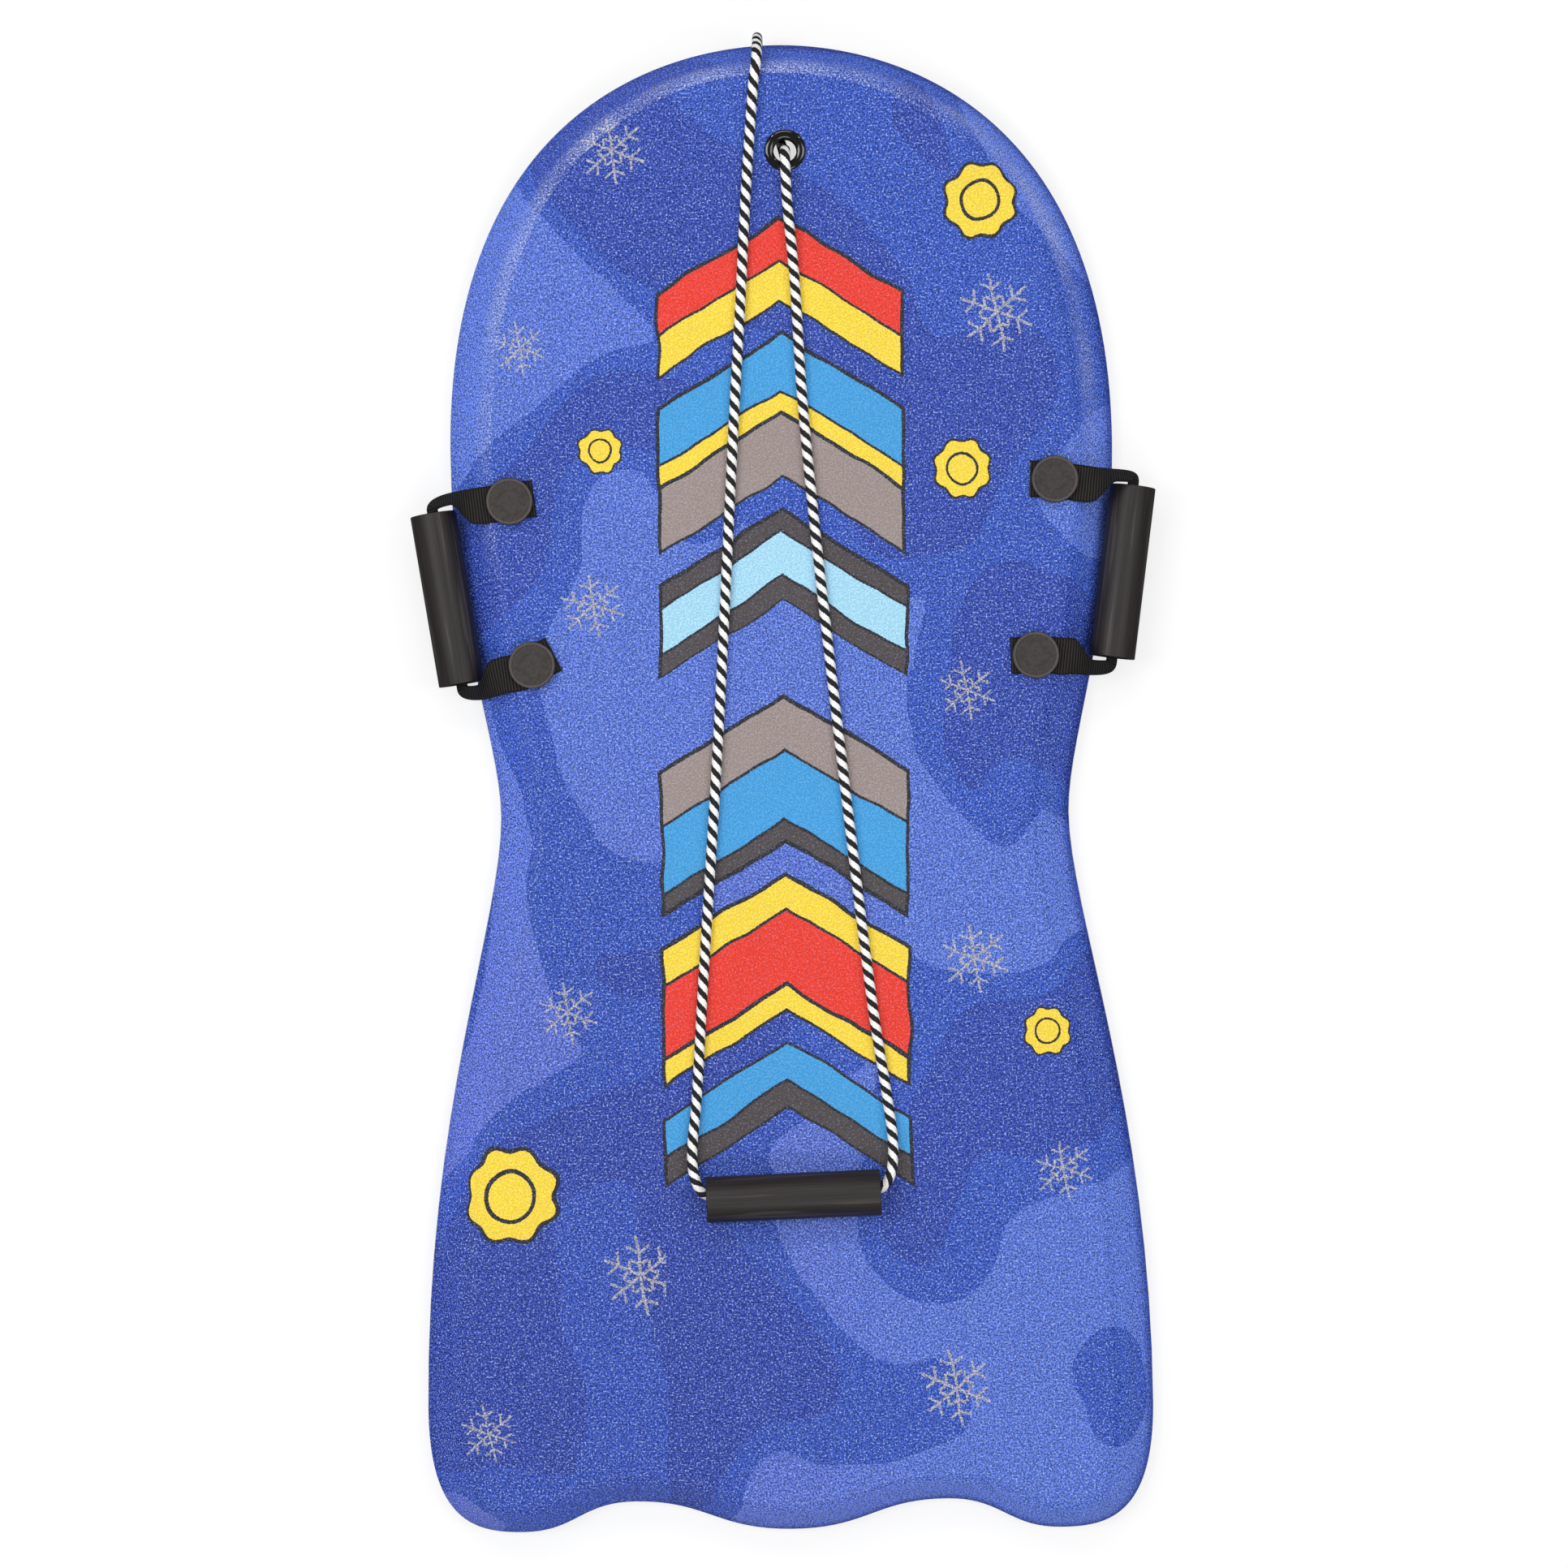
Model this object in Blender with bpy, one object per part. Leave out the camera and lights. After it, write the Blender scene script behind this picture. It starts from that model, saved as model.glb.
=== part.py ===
"""Foam snow sled: a laminated foam board with two webbing grab handles and a tow rope.

The board lies on its running face at z = 0, its nose towards +Y, and +X is its right side seen from above.
Run it in Blender's text editor, or with blender --background --python part.py.
"""
import math

import bmesh
import bpy
from mathutils import Matrix, Vector

MM = 0.001

# Board outline, half of it, from the nose round to the middle of the tail.
NOSE_Y = 502.5 * MM
SHOULDER_HALF = 226.8 * MM
SHOULDER_Y = 231.0 * MM
WAIST_HALF = 194.5 * MM
WAIST_Y = -20.0 * MM
TAIL_HALF = 248.4 * MM
TAIL_Y = -425.0 * MM
LOBE_X = 183.5 * MM
LOBE_Y = -509.5 * MM
NOTCH_X = 106.5 * MM
NOTCH_Y = -489.3 * MM
TAIL_MID_Y = -509.1 * MM

# How far each arc's two handles reach, as shares of the arc's own span.
NOSE_SHARES = (0.35, 0.84)
SHOULDER_SHARES = (0.50, 0.20)
WAIST_SHARES = (0.17, 0.50)
CORNER_SHARES = (0.95, 0.45)
LOBE_SHARES = (0.47, 0.48)
NOTCH_SHARES = (0.46, 0.49)

# Board section: an upright foot, a wide bevel and a soft shoulder, with the nose turned up.
THICKNESS = 45.0 * MM
FOOT_HEIGHT = 12.0 * MM
BEVEL_SIDE = 26.0 * MM
BEVEL_END = 18.0 * MM
SHOULDER_RADIUS = 12.0 * MM
FOOT_RADIUS = 6.0 * MM
ROCKER_RISE = 22.0 * MM
ROCKER_START_Y = 250.0 * MM

# Layers.
SKIN = 2.0 * MM
SLICK = 1.8 * MM
SLICK_REVEAL = 0.8 * MM
SLICK_EDGE = 0.7 * MM
GAP = 0.3 * MM

# Tow hole and its two-piece eyelet.
HOLE_X = 4.5 * MM
HOLE_SETBACK = 75.5 * MM
HOLE_RADIUS = 7.8 * MM
EYELET_WALL = 1.9 * MM
FLANGE_RADIUS = 13.9 * MM
FLANGE_HEIGHT = 2.4 * MM
FLANGE_EDGE = 0.8 * MM
LOWER_BARREL = 14.0 * MM
LOWER_FLANGE = 1.6 * MM
SEAT_RECESS = 0.2 * MM

# Webbing and its buttons.
WEB_WIDTH = 25.0 * MM
WEB_THICKNESS = 1.6 * MM
TAB_TAIL = 0.9 * MM
BUTTON_RADIUS = 15.75 * MM
BUTTON_HEIGHT = 4.6 * MM
BUTTON_EDGE = 0.8 * MM
BUTTON_RIM = 1.1 * MM
BUTTON_DISH = 0.4 * MM
SHANK_RADIUS = 4.5 * MM
SOCKET_WALL = 2.6 * MM
SOCKET_HEIGHT = 26.0 * MM
SOCKET_FLOOR = 2.0 * MM
ANCHOR_RADIUS = 18.0 * MM
ANCHOR_FLANGE = 1.5 * MM
BUTTON_INSET = 42.0 * MM
HINGE_OFFSET = 3.3 * MM
HINGE_CLEARANCE = 0.5 * MM

# Grip tubes, the same tube on both handles and on the tow rope.
GRIP_LENGTH = 117.0 * MM
GRIP_RADIUS = 15.5 * MM
GRIP_WALL = 2.4 * MM
GRIP_EDGE = 0.6 * MM
GRIP_CLEARANCE = 3.3 * MM

# The two handles as fitted. The front button's setback is measured from the shoulder, the grip's standoff
# outwards from the board's edge, and its slip along the line of the buttons, towards the second one. In each
# pair the first button's end of the webbing comes first: how far its sewn end is turned under the button,
# how far it has slid along the hinge line, the way it leaves there, how far it runs on before it bends, and
# how far it bulges past the grip.
HANDLES = {
    "left": {
        "side": -1,
        "setback": 38.0 * MM,
        "spacing": 110.6 * MM,
        "order": ("rear", "front"),
        "tail_turns": (math.radians(20), 0),
        "slides": (-3.7 * MM, 0),
        "leave_turns": (math.radians(11), 0),
        "runs": (12.0 * MM, 14.0 * MM),
        "bulges": (11.0 * MM, 11.0 * MM),
        "standoff": 9.8 * MM,
        "slip": -2.8 * MM,
        "yaw": math.radians(1.8),
    },
    "right": {
        "side": 1,
        "setback": 26.5 * MM,
        "spacing": 118.5 * MM,
        "order": ("front", "rear"),
        "tail_turns": (math.radians(5), math.radians(8)),
        "slides": (0.9 * MM, -1.0 * MM),
        "leave_turns": (math.radians(-2), math.radians(12)),
        "runs": (24.0 * MM, 18.0 * MM),
        "bulges": (12.0 * MM, 12.0 * MM),
        "standoff": 11.6 * MM,
        "slip": -3.5 * MM,
        "yaw": math.radians(-0.8),
    },
}
ARM_LEAD = 3.0 * MM
ARM_LEAN = math.radians(82)
ARM_FLAT = 4.0 * MM
ARM_TWIST = 18.0 * MM
ARM_SQUARE_SHARE = 0.3

# Tow rope.
ROPE_RADIUS = 3.5 * MM
ROPE_STEP = 24.0 * MM
TOW_X = 3.3 * MM
TOW_Y = -276.3 * MM
TOW_TURN = math.radians(2.0)
KNOT_RADIUS = 8.6 * MM
KNOT_LENGTH = 22.0 * MM
KNOT_FACE = 4.0 * MM
KNOT_BODY = 13.0 * MM

# The rope's own route, from the knot out of the grip's right end to the eyelet, under the nose and back.
ROPE_ROUTE = [
    (14.6, -275.9, 56.9), (61.8, -271.8, 57.3), (67.6, -265.4, 56.2), (70.3, -255.0, 53.8),
    (70.6, -240.0, 50.8), (67.6, -215.0, 48.9), (58.1, -151.2, 48.8), (44.1, -31.7, 48.8),
    (26.1, 134.4, 48.8), (15.0, 253.9, 48.8), (9.9, 343.4, 52.0), (5.6, 392.0, 58.0),
    (4.7, 413.5, 63.4), (4.5, 423.2, 61.0), (4.5, 427.6, 53.5), (4.3, 428.4, 34.0),
    (4.0, 428.8, 20.5), (3.3, 433.0, 11.6), (1.2, 440.8, 7.9), (-6.0, 465.0, 10.2),
    (-11.6, 490.0, 13.4), (-13.0, 499.6, 15.4), (-13.4, 505.4, 20.6), (-13.5, 507.4, 29.0),
    (-13.5, 505.6, 39.0), (-13.6, 499.0, 51.5), (-13.9, 491.2, 63.2), (-14.6, 483.2, 67.8),
    (-16.4, 471.0, 66.2), (-22.8, 389.7, 55.6), (-26.7, 323.6, 50.9), (-31.3, 254.4, 48.8),
    (-44.5, 32.2, 48.8), (-56.3, -133.6, 48.8), (-61.5, -212.0, 48.9), (-64.6, -243.0, 50.8),
    (-64.3, -258.0, 53.8), (-61.4, -268.6, 56.2), (-55.4, -275.2, 57.3), (-8.0, -276.7, 56.9),
]

# Numbers of facets.
ARC_STEPS = (16, 6, 8, 9, 5, 5)
FILLET_STEPS = 3
FOOT_STEPS = 1
ROUND_STEPS = 28
HOLE_STEPS = 24
ARM_STEPS = 18
HINGE_STEPS = 4
OVERRUN = 10.0 * MM


def clear_scene():
    for old in list(bpy.data.objects):
        bpy.data.objects.remove(old, do_unlink=True)


def make_material(name, colour, roughness, metallic=0.0):
    material = bpy.data.materials.new(name)
    material.use_nodes = True
    shader = material.node_tree.nodes["Principled BSDF"]
    shader.inputs["Base Color"].default_value = (*colour, 1.0)
    shader.inputs["Roughness"].default_value = roughness
    shader.inputs["Metallic"].default_value = metallic
    return material


def make_object(name, mesh, material):
    obj = bpy.data.objects.new(name, mesh)
    bpy.context.scene.collection.objects.link(obj)
    mesh.materials.append(material)
    return obj


def closed_mesh(name, points, faces, smooth=False):
    """A mesh from points and faces, its faces turned outwards."""
    shape = bmesh.new()
    corners = [shape.verts.new(point) for point in points]
    for face in faces:
        shape.faces.new([corners[index] for index in face])
    bmesh.ops.recalc_face_normals(shape, faces=shape.faces)
    mesh = bpy.data.meshes.new(name)
    shape.to_mesh(mesh)
    shape.free()
    if smooth:
        mesh.shade_smooth()
        mesh.set_sharp_from_angle(angle=math.radians(35))
    return mesh


def cut(target, cutter):
    """Subtracts a guide object from a solid."""
    cutter.hide_render = True
    cutter.display_type = "WIRE"
    modifier = target.modifiers.new("cut_" + cutter.name, "BOOLEAN")
    modifier.operation = "DIFFERENCE"
    modifier.solver = "EXACT"
    modifier.object = cutter


def turned(name, profile, steps, frame, material, hollow=False):
    """A solid of revolution from (radius, height) points, about the frame's own Z."""
    points = []
    rings = []
    for radius, height in profile:
        if radius == 0:
            rings.append([len(points)] * steps)
            points.append(Vector((0, 0, height)))
            continue
        rings.append([len(points) + step for step in range(steps)])
        for step in range(steps):
            angle = math.tau * step / steps
            points.append(Vector((radius * math.cos(angle), radius * math.sin(angle), height)))
    pairs = list(zip(rings, rings[1:]))
    if hollow:
        pairs.append((rings[-1], rings[0]))
    faces = []
    for lower, upper in pairs:
        for step in range(steps):
            after = (step + 1) % steps
            corners = [lower[step], lower[after], upper[after], upper[step]]
            faces.append(list(dict.fromkeys(corners)))
    mesh = closed_mesh(name, points, faces, smooth=True)
    obj = make_object(name, mesh, material)
    obj.matrix_world = frame
    return obj


def plug(name, radius, low, high, frame, steps=HOLE_STEPS):
    """A plain round cutter."""
    obj = turned(name, [(0, low), (radius, low), (radius, high), (0, high)], steps, frame, GUIDE)
    return obj


def cubic(start, leave, arrive, end, share):
    """A point on a cubic arc, and its direction."""
    rest = 1 - share
    point = start * rest ** 3 + leave * (3 * rest ** 2 * share) + arrive * (3 * rest * share ** 2) + end * share ** 3
    heading = (leave - start) * rest ** 2 + (arrive - leave) * (2 * rest * share) + (end - arrive) * share ** 2
    return point, heading.normalized()


def half_outline():
    """Points down the right half of the board's edge with their outward normals, nose to tail."""
    nose = Vector((0, NOSE_Y))
    shoulder = Vector((SHOULDER_HALF, SHOULDER_Y))
    waist = Vector((WAIST_HALF, WAIST_Y))
    tail = Vector((TAIL_HALF, TAIL_Y))
    lobe = Vector((LOBE_X, LOBE_Y))
    notch = Vector((NOTCH_X, NOTCH_Y))
    middle = Vector((0, TAIL_MID_Y))
    across = Vector((1, 0))
    down = Vector((0, -1))
    stops = [nose, shoulder, waist, tail, lobe, notch, middle]
    leaving = [across, down, down, down, -across, -across]
    arriving = [down, down, down, -across, -across, -across]
    shares = [NOSE_SHARES, SHOULDER_SHARES, WAIST_SHARES, CORNER_SHARES, LOBE_SHARES, NOTCH_SHARES]
    result = []
    for number, (leave, arrive, (first, last), steps) in enumerate(zip(leaving, arriving, shares, ARC_STEPS)):
        start, end = stops[number], stops[number + 1]
        span = end - start
        leave_handle = start + leave * first * abs(span.dot(leave))
        arrive_handle = end - arrive * last * abs(span.dot(arrive))
        for step in range(steps):
            point, heading = cubic(start, leave_handle, arrive_handle, end, step / steps)
            result.append((point, Vector((-heading.y, heading.x))))
    result.append((middle, down))
    return result


def half_width_at(y):
    """Half the board's width at a place along its straight sides."""
    edge = [point for point, normal in OUTLINE[: sum(ARC_STEPS[:3]) + 1]]
    for upper, lower in zip(edge, edge[1:]):
        if lower.y <= y <= upper.y:
            share = (upper.y - y) / (upper.y - lower.y)
            return upper.x + (lower.x - upper.x) * share
    return edge[-1].x


def rocker(y):
    """How far the running face has risen at y."""
    share = max(0.0, (y - ROCKER_START_Y) / (NOSE_Y - ROCKER_START_Y))
    return ROCKER_RISE * share ** 2


def rocker_angle(y):
    run = NOSE_Y - ROCKER_START_Y
    share = max(0.0, (y - ROCKER_START_Y) / run)
    return math.atan(2 * ROCKER_RISE * share / run)


def fillet(before, corner, after, radius, steps):
    """Points that round a convex corner of the board's section."""
    first = (before - corner).normalized()
    second = (after - corner).normalized()
    half_angle = first.angle(second) / 2
    if radius <= 0:
        return [corner]
    reach = min(radius / math.tan(half_angle), (before - corner).length, (after - corner).length)
    start = corner + first * reach
    end = corner + second * reach
    centre = corner + (first + second).normalized() * (reach / math.cos(half_angle))
    sweep = (start - centre).angle_signed(end - centre)
    return [centre + Matrix.Rotation(-sweep * step / steps, 2) @ (start - centre) for step in range(steps + 1)]


def section(bevel, depth, low, high):
    """(inset, height) points up the board's edge, for a layer whose outside lies depth below the surface."""
    slope = Vector((bevel, THICKNESS - FOOT_HEIGHT)).normalized()
    inward = Vector((slope.y, -slope.x))
    on_bevel = Vector((0, FOOT_HEIGHT)) + inward * depth
    foot = on_bevel + slope * ((depth - on_bevel.x) / slope.x)
    shoulder = on_bevel + slope * ((high - on_bevel.y) / slope.y)
    floor_point = Vector((depth, low))
    deck_point = Vector((shoulder.x + SHOULDER_RADIUS, high))
    points = [floor_point]
    points += fillet(floor_point, foot, shoulder, FOOT_RADIUS - depth, FOOT_STEPS)
    points += fillet(foot, shoulder, deck_point, SHOULDER_RADIUS - depth, FILLET_STEPS)
    return points


def place(point, normal, inset, height, side):
    """A point of the board from its place on the edge, with the rocker's rise."""
    x = point.x - normal.x * inset
    y = point.y - normal.y * inset
    return Vector((x * side, y, height + rocker(y)))


def edge_loops(layer_section):
    """Rings of points round the board. Each ring runs down the right side and back up the left."""
    columns = []
    last = len(OUTLINE) - 1
    for number, (point, normal) in enumerate(OUTLINE):
        bevel = BEVEL_SIDE * normal.x ** 2 + BEVEL_END * normal.y ** 2
        columns.append([(point, normal, inset, height) for inset, height in layer_section(bevel)])
    order = [(number, 1) for number in range(last + 1)] + [(number, -1) for number in range(last - 1, 0, -1)]
    rings = []
    for level in range(len(columns[0])):
        rings.append([place(*columns[number][level], side) for number, side in order])
    return rings


def cap_faces(ring_points, offset):
    """Faces that close a ring: strips across the turned-up nose, then one flat face to the tail."""
    count = len(ring_points)
    row = 0
    faces = []
    while ring_points[row].y > ROCKER_START_Y:
        right, next_right = row, row + 1
        left, next_left = (count - row) % count, count - row - 1
        corners = [right, next_right, next_left, left]
        faces.append([offset + index for index in dict.fromkeys(corners)])
        row += 1
    faces.append([offset + index for index in range(row, count - row + 1)])
    return faces


def wall_faces(count, lower, upper):
    """Faces between two rings, three-cornered so that every layer's wall splits the same way."""
    faces = []
    for step in range(count):
        after = (step + 1) % count
        faces.append([lower + step, lower + after, upper + after])
        faces.append([lower + step, upper + after, upper + step])
    return faces


def board_solid(name, outer, material, inner=None):
    """A plate from a stack of rings or, with inner rings, a tray that is open below."""
    rings = outer if inner is None else outer + inner
    count = len(rings[0])
    points = [point for ring in rings for point in ring]
    faces = cap_faces(outer[-1], (len(outer) - 1) * count)
    for level in range(len(rings) - 1):
        if level != len(outer) - 1:
            faces += wall_faces(count, level * count, (level + 1) * count)
    if inner is None:
        faces += cap_faces(outer[0], 0)
    else:
        faces += cap_faces(inner[-1], (len(rings) - 1) * count)
        faces += wall_faces(count, len(outer) * count, 0)
    mesh = closed_mesh(name, points, faces, smooth=True)
    return make_object(name, mesh, material)


def make_board():
    """The foam core, the printed skin over its top and sides, and the slick running sheet."""
    core_low = SLICK + GAP
    core_depth = SLICK_REVEAL + SKIN + GAP
    core_high = THICKNESS - SKIN - GAP
    core_rings = edge_loops(lambda bevel: section(bevel, core_depth, core_low, core_high))
    core = board_solid("foam_core", core_rings, FOAM)
    skin_outer = edge_loops(lambda bevel: section(bevel, SLICK_REVEAL, core_low, THICKNESS))
    skin_inner = edge_loops(lambda bevel: section(bevel, SLICK_REVEAL + SKIN, core_low, THICKNESS - SKIN))
    skin = board_solid("deck_skin", skin_outer, PRINT, inner=skin_inner)
    slick_section = [(SLICK_EDGE, 0), (0, SLICK_EDGE), (0, SLICK)]
    slick = board_solid("base_slick", edge_loops(lambda bevel: slick_section), SHEET)
    return core, skin, slick


def eyelet_frame():
    """The tow hole's own frame: its Z stands square on the deck at the hole."""
    hole_y = NOSE_Y - HOLE_SETBACK
    top = Vector((HOLE_X, hole_y, THICKNESS + rocker(hole_y)))
    return Matrix.Translation(top) @ Matrix.Rotation(rocker_angle(hole_y), 4, "X")


def eyelet_depth(frame):
    """The distance from the deck to the running face along the hole."""
    axis = frame.to_3x3() @ Vector((0, 0, 1))
    top = frame.translation
    depth = THICKNESS
    for _ in range(HOLE_STEPS):
        foot_y = top.y - axis.y * depth
        depth = (top.z - rocker(foot_y)) / axis.z
    return depth


def make_eyelet(core, skin, slick):
    """A flanged eyelet let in from the deck, meeting a second one let in from below."""
    frame = eyelet_frame()
    depth = eyelet_depth(frame)
    barrel = HOLE_RADIUS + EYELET_WALL
    meet = -depth + LOWER_BARREL
    lip = FLANGE_HEIGHT - GAP
    profile = [
        (HOLE_RADIUS, meet + GAP), (barrel, meet + GAP), (barrel, GAP), (FLANGE_RADIUS, GAP),
        (FLANGE_RADIUS, GAP + FLANGE_EDGE), (FLANGE_RADIUS - FLANGE_EDGE, FLANGE_HEIGHT - FLANGE_EDGE / 2),
    ]
    crown = FLANGE_RADIUS - 2 * FLANGE_EDGE
    for step in range(FILLET_STEPS + 1):
        angle = math.pi / 2 * step / FILLET_STEPS
        across = (crown - HOLE_RADIUS) * (1 - math.sin(angle))
        profile.append((HOLE_RADIUS + across, FLANGE_HEIGHT - lip * (1 - math.cos(angle))))
    turned("eyelet_top", profile, ROUND_STEPS, frame, GLOSS, hollow=True)
    base = -depth + SEAT_RECESS
    flange_top = base + LOWER_FLANGE - SEAT_RECESS
    profile = [
        (HOLE_RADIUS + FLANGE_EDGE, base), (HOLE_RADIUS, base + FLANGE_EDGE), (HOLE_RADIUS, meet), (barrel, meet),
        (barrel, flange_top), (FLANGE_RADIUS, flange_top), (FLANGE_RADIUS, base),
    ]
    turned("eyelet_bottom", profile, ROUND_STEPS, frame, GLOSS, hollow=True)
    cut(core, plug("guide_hole_core", barrel + GAP, -depth - OVERRUN, OVERRUN, frame))
    cut(skin, plug("guide_hole_skin", barrel + GAP, -THICKNESS / 2, OVERRUN, frame))
    cut(slick, plug("guide_hole_slick", FLANGE_RADIUS + GAP, -depth - OVERRUN, -THICKNESS / 2, frame))


def handle_frame(handle):
    """The handle's own frame on the ground: X along the line of its buttons, Y outwards, Z up."""
    front_y = SHOULDER_Y - handle["setback"]
    rear_y = front_y - handle["spacing"]
    places = []
    for end in handle["order"]:
        y = front_y if end == "front" else rear_y
        places.append(Vector((handle["side"] * (half_width_at(y) - BUTTON_INSET), y, 0)))
    first, last = places
    along = (last - first).normalized()
    up = Vector((0, 0, 1))
    frame = Matrix((along, up.cross(along), up)).transposed().to_4x4()
    frame.translation = (first + last) / 2
    return frame, (last - first).length / 2


def grip_middle(handle):
    """The grip's middle in the handle's frame, where the tube lies a clearance off the bevel."""
    rise = THICKNESS - FOOT_HEIGHT
    slope = math.hypot(BEVEL_SIDE, rise)
    standoff = handle["standoff"]
    height = FOOT_HEIGHT + ((GRIP_RADIUS + GRIP_CLEARANCE) * slope - standoff * rise) / BEVEL_SIDE
    return Vector((handle["slip"], BUTTON_INSET + standoff, height))


def make_button(name, place_frame, core, skin, slick):
    """A round button whose shank goes through webbing, skin and core into a socket from below."""
    under = THICKNESS + GAP + WEB_THICKNESS + GAP
    top = under + BUTTON_HEIGHT
    shank_end = SEAT_RECESS + SOCKET_FLOOR + GAP
    dish_radius = BUTTON_RADIUS - BUTTON_EDGE - BUTTON_RIM
    profile = [
        (0, shank_end), (SHANK_RADIUS, shank_end), (SHANK_RADIUS, under), (BUTTON_RADIUS, under),
        (BUTTON_RADIUS, top - BUTTON_EDGE), (BUTTON_RADIUS - BUTTON_EDGE, top), (dish_radius, top),
        (dish_radius - BUTTON_DISH, top - BUTTON_DISH), (0, top - BUTTON_DISH),
    ]
    turned(name + "_button", profile, ROUND_STEPS, place_frame, BUTTON)
    bore = SHANK_RADIUS + GAP
    socket = bore + SOCKET_WALL
    flange_top = SEAT_RECESS + ANCHOR_FLANGE
    profile = [
        (0, SEAT_RECESS), (ANCHOR_RADIUS, SEAT_RECESS), (ANCHOR_RADIUS, flange_top), (socket, flange_top),
        (socket, SOCKET_HEIGHT), (bore, SOCKET_HEIGHT), (bore, shank_end - GAP), (0, shank_end - GAP),
    ]
    turned(name + "_anchor", profile, HOLE_STEPS, place_frame, GLOSS)
    cut(core, plug(name + "_guide_shank", bore, -OVERRUN, THICKNESS + OVERRUN, place_frame))
    cut(core, plug(name + "_guide_socket", socket + GAP, -OVERRUN, SOCKET_HEIGHT + GAP, place_frame))
    cut(skin, plug(name + "_guide_skin", bore, THICKNESS / 2, THICKNESS + OVERRUN, place_frame))
    cut(slick, plug(name + "_guide_slick", ANCHOR_RADIUS + GAP, -OVERRUN, THICKNESS / 2, place_frame))


def make_tab(name, frame, along, tail_turn, slide):
    """The webbing's sewn end, held flat on the deck under its button."""
    low = THICKNESS + GAP
    high = low + WEB_THICKNESS
    half = WEB_WIDTH / 2
    back = -(BUTTON_RADIUS + TAB_TAIL)
    front = BUTTON_RADIUS + HINGE_OFFSET - WEB_THICKNESS / 2 - HINGE_CLEARANCE
    turned_back = Matrix.Rotation(tail_turn, 3, "Z")
    points = []
    for z in (low, high):
        points += [turned_back @ Vector((side, back, z)) for side in (-half, half)]
        points += [Vector((slide + side, front, z)) for side in (-half, half)]
    faces = [(0, 1, 3, 2), (4, 5, 7, 6), (0, 1, 5, 4), (2, 3, 7, 6), (0, 2, 6, 4), (1, 3, 7, 5)]
    tab = make_object(name, closed_mesh(name, points, faces), WEBBING)
    tab.matrix_world = frame @ Matrix.Translation(Vector((along, 0, 0)))
    hole = plug(name + "_guide", SHANK_RADIUS + GAP, low - OVERRUN, high + OVERRUN, tab.matrix_world)
    cut(tab, hole)


def smooth_step(share):
    share = min(1.0, max(0.0, share))
    return share ** 2 * (3 - 2 * share)


def arm_stations(handle, number, along, end, into_grip):
    """Places along one arm of the webbing from the hinge line to the grip: centre, width and heading.

    The edge away from the handle's middle is drawn first, and the webbing leans up about it.
    """
    inward = Vector((math.copysign(1.0, into_grip.x), 0, 0))
    outward = Vector((-into_grip.y, into_grip.x, 0)) * inward.x
    half = WEB_WIDTH / 2
    hinge_height = THICKNESS + GAP + WEB_THICKNESS / 2
    start = Vector((along + handle["slides"][number], BUTTON_RADIUS + HINGE_OFFSET, hinge_height))
    start -= inward * half
    way = Matrix.Rotation(handle["leave_turns"][number], 3, "Z")
    leave = start + way @ Vector((0, handle["runs"][number], 0))
    last = end + outward * (half * math.cos(ARM_LEAN))
    arrive = last - into_grip * handle["bulges"][number]
    stations = []
    before = start
    gone = 0
    for step in range(ARM_STEPS + 1):
        share = step / ARM_STEPS
        edge, heading = cubic(start, leave, arrive, last, share)
        gone += (edge - before).length
        before = edge
        turn = ARM_LEAN * smooth_step((gone - ARM_FLAT) / ARM_TWIST)
        level = Vector((heading.y, -heading.x, 0)).normalized() * inward.x
        level = inward.lerp(level, smooth_step(share / ARM_SQUARE_SHARE)).normalized()
        width = level * math.cos(turn) + Vector((0, 0, math.sin(turn)))
        stations.append((edge + level * (half * math.cos(turn)), width, heading))
    return stations


def make_loop(name, frame, handle, half_span):
    """The webbing between the hinge line's two ends: out, turned on edge, through the grip and back."""
    axis = Vector((math.cos(handle["yaw"]), math.sin(handle["yaw"]), 0))
    middle = grip_middle(handle)
    inside = axis * (GRIP_LENGTH / 2 + ARM_LEAD)
    stations = arm_stations(handle, 0, -half_span, middle - inside, axis)
    last_arm = arm_stations(handle, 1, half_span, middle + inside, -axis)
    stations += [(centre, width, -heading) for centre, width, heading in reversed(last_arm)]
    half = WEB_WIDTH / 2
    thick = WEB_THICKNESS / 2
    points = []
    for centre, width, heading in stations:
        face = width.cross(heading).normalized()
        for across, through in ((-half, -thick), (half, -thick), (half, thick), (-half, thick)):
            points.append(centre + width * across + face * through)
    count = len(stations)
    faces = []
    for number in range(count - 1):
        for corner in range(4):
            after = (corner + 1) % 4
            near, near_after = 4 * number + corner, 4 * number + after
            if corner < 2:
                faces.append([near, near_after, near_after + 4])
                faces.append([near, near_after + 4, near + 4])
            else:
                faces.append([near, near_after, near + 4])
                faces.append([near_after, near_after + 4, near + 4])
    faces += hinge_end(points, stations[0], -1, (0, 1, 2, 3))
    last = 4 * (count - 1)
    faces += hinge_end(points, stations[-1], 1, (last, last + 1, last + 2, last + 3))
    loop = make_object(name, closed_mesh(name, points, faces, smooth=True), WEBBING)
    loop.matrix_world = frame


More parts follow.
